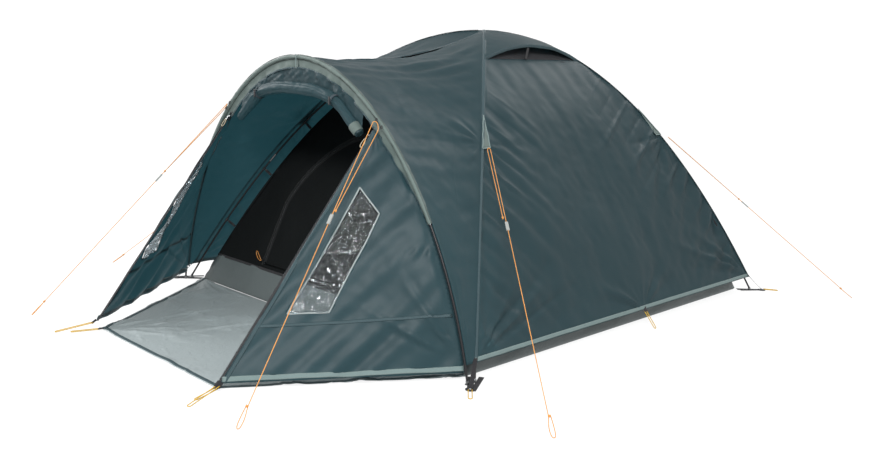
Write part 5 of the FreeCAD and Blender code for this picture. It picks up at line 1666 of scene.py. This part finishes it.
# name, place, what it points at, its two sides in metres and its power in watts
LIGHTS = (("key", (3.8, -4.7, 3.8), (0.4, -0.2, 0.5), (1.3, 1.0), 415),
          ("top_rear", (0.2, 4.8, 4.6), (0, 0.2, 0.6), (2.4, 2.0), 100),
          ("left", (-4.6, -2.8, 3.4), (-0.5, -0.6, 0.5), (2.0, 2.0), 260),
          ("glint", (3.9, -2.9, 3.0), (0.5, -1.2, 0.4), (0.5, 0.5), 44))
for name, place, aim, size, power in LIGHTS:
    light = bpy.data.lights.new(name, "AREA")
    light.shape = "RECTANGLE"
    light.size, light.size_y = size
    light.energy = power
    obj = bpy.data.objects.new(name, light)
    obj.location = place
    obj.rotation_mode = "QUATERNION"
    obj.rotation_quaternion = (Vector(aim) - Vector(place)).to_track_quat("-Z", "Y")
    bpy.context.scene.collection.objects.link(obj)

bpy.context.scene.view_settings.view_transform = "Standard"
bpy.context.scene.view_settings.look = "None"

# ------------------------------------------------------------- cloths as they were cut

DOME_POLES = ["dome_pole_front_left", "dome_pole_front_right"]


def cloth(name, flat, area, held, rests_on, trims=()):
    """Looks up the tapes sewn to a cloth by name; the size it was cut to is not used."""
    [bpy.data.objects[trim] for trim in trims]
    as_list(rests_on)


cloth("fly_rear_cloth", (1.91, 1.72), 1.82, "stretched", DOME_POLES,
      ["rear_hem_tape", "ridge_seam_rear_left", "ridge_seam_rear_right"])
cloth("inner_rear_cloth", (1.70, 1.57), 1.47, "hung", ["pole_clips"])
cloth("inner_front_cloth", (1.70, 1.57), 0.90, "hung", ["pole_clips"],
      ["inner_front_seam", "bedroom_zip_tape_outer"])
cloth("inner_door_cloth", (0.94, 0.72), 0.57, "hung", ["inner_zip"],
      ["bedroom_zip_tape_inner"])
cloth("floor_tray_cloth", (2.06, 2.26), 4.59, "laid", ["pole_clips"],
      ["floor_tray_binding"])
cloth("groundsheet_cloth", (1.81, 0.745), 0.99, "laid", ["bathtub_floor"],
      ["groundsheet_hem_front", "groundsheet_hem_right", "groundsheet_hem_left"])
cloth("door_head_cloth", (0.89, 0.06), 0.046, "gathered", ["arch_band"])
for _, name in SIDES:
    cloth("fly_side_cloth_" + name, (2.04, 1.36), 1.80, "stretched", DOME_POLES,
          ["side_hem_tape_" + name])
    cloth("fly_roof_cloth_" + name, (0.59, 1.63), 0.70, "stretched",
          DOME_POLES + ["porch_pole"], ["ridge_seam_front_" + name, "hoop_gutter_" + name])
    cloth("vent_hood_cloth_" + name, (0.67, 0.37), 0.111, "stretched",
          ["vent_prop_" + name], ["vent_lip_" + name])
    cloth("vent_net_" + name, (0.69, 0.39), 0.128, "stretched", DOME_POLES)
    cloth("porch_panel_cloth_" + name, (0.45, 0.95), 0.37, "stretched", ["porch_pole"],
          ["window_binding_" + name, "panel_seam_cross_" + name, "panel_door_edge_" + name,
           "porch_hem_tape_" + name])
    cloth("porch_window_film_" + name, (0.21, 0.48), 0.056, "stretched",
          ["porch_panel_" + name])
    cloth("hoop_sleeve_cloth_" + name, (0.055, 0.99), 0.054, "stretched", ["porch_pole"],
          ["sleeve_seam_outer_" + name, "sleeve_seam_inner_" + name])
    cloth("hoop_band_" + name, (0.031, 0.97), 0.029, "hung", ["arch_sleeve"],
          ["band_binding_" + name])
    cloth("inner_side_cloth_" + name, (1.89, 1.53), 1.58, "hung", ["pole_clips"])
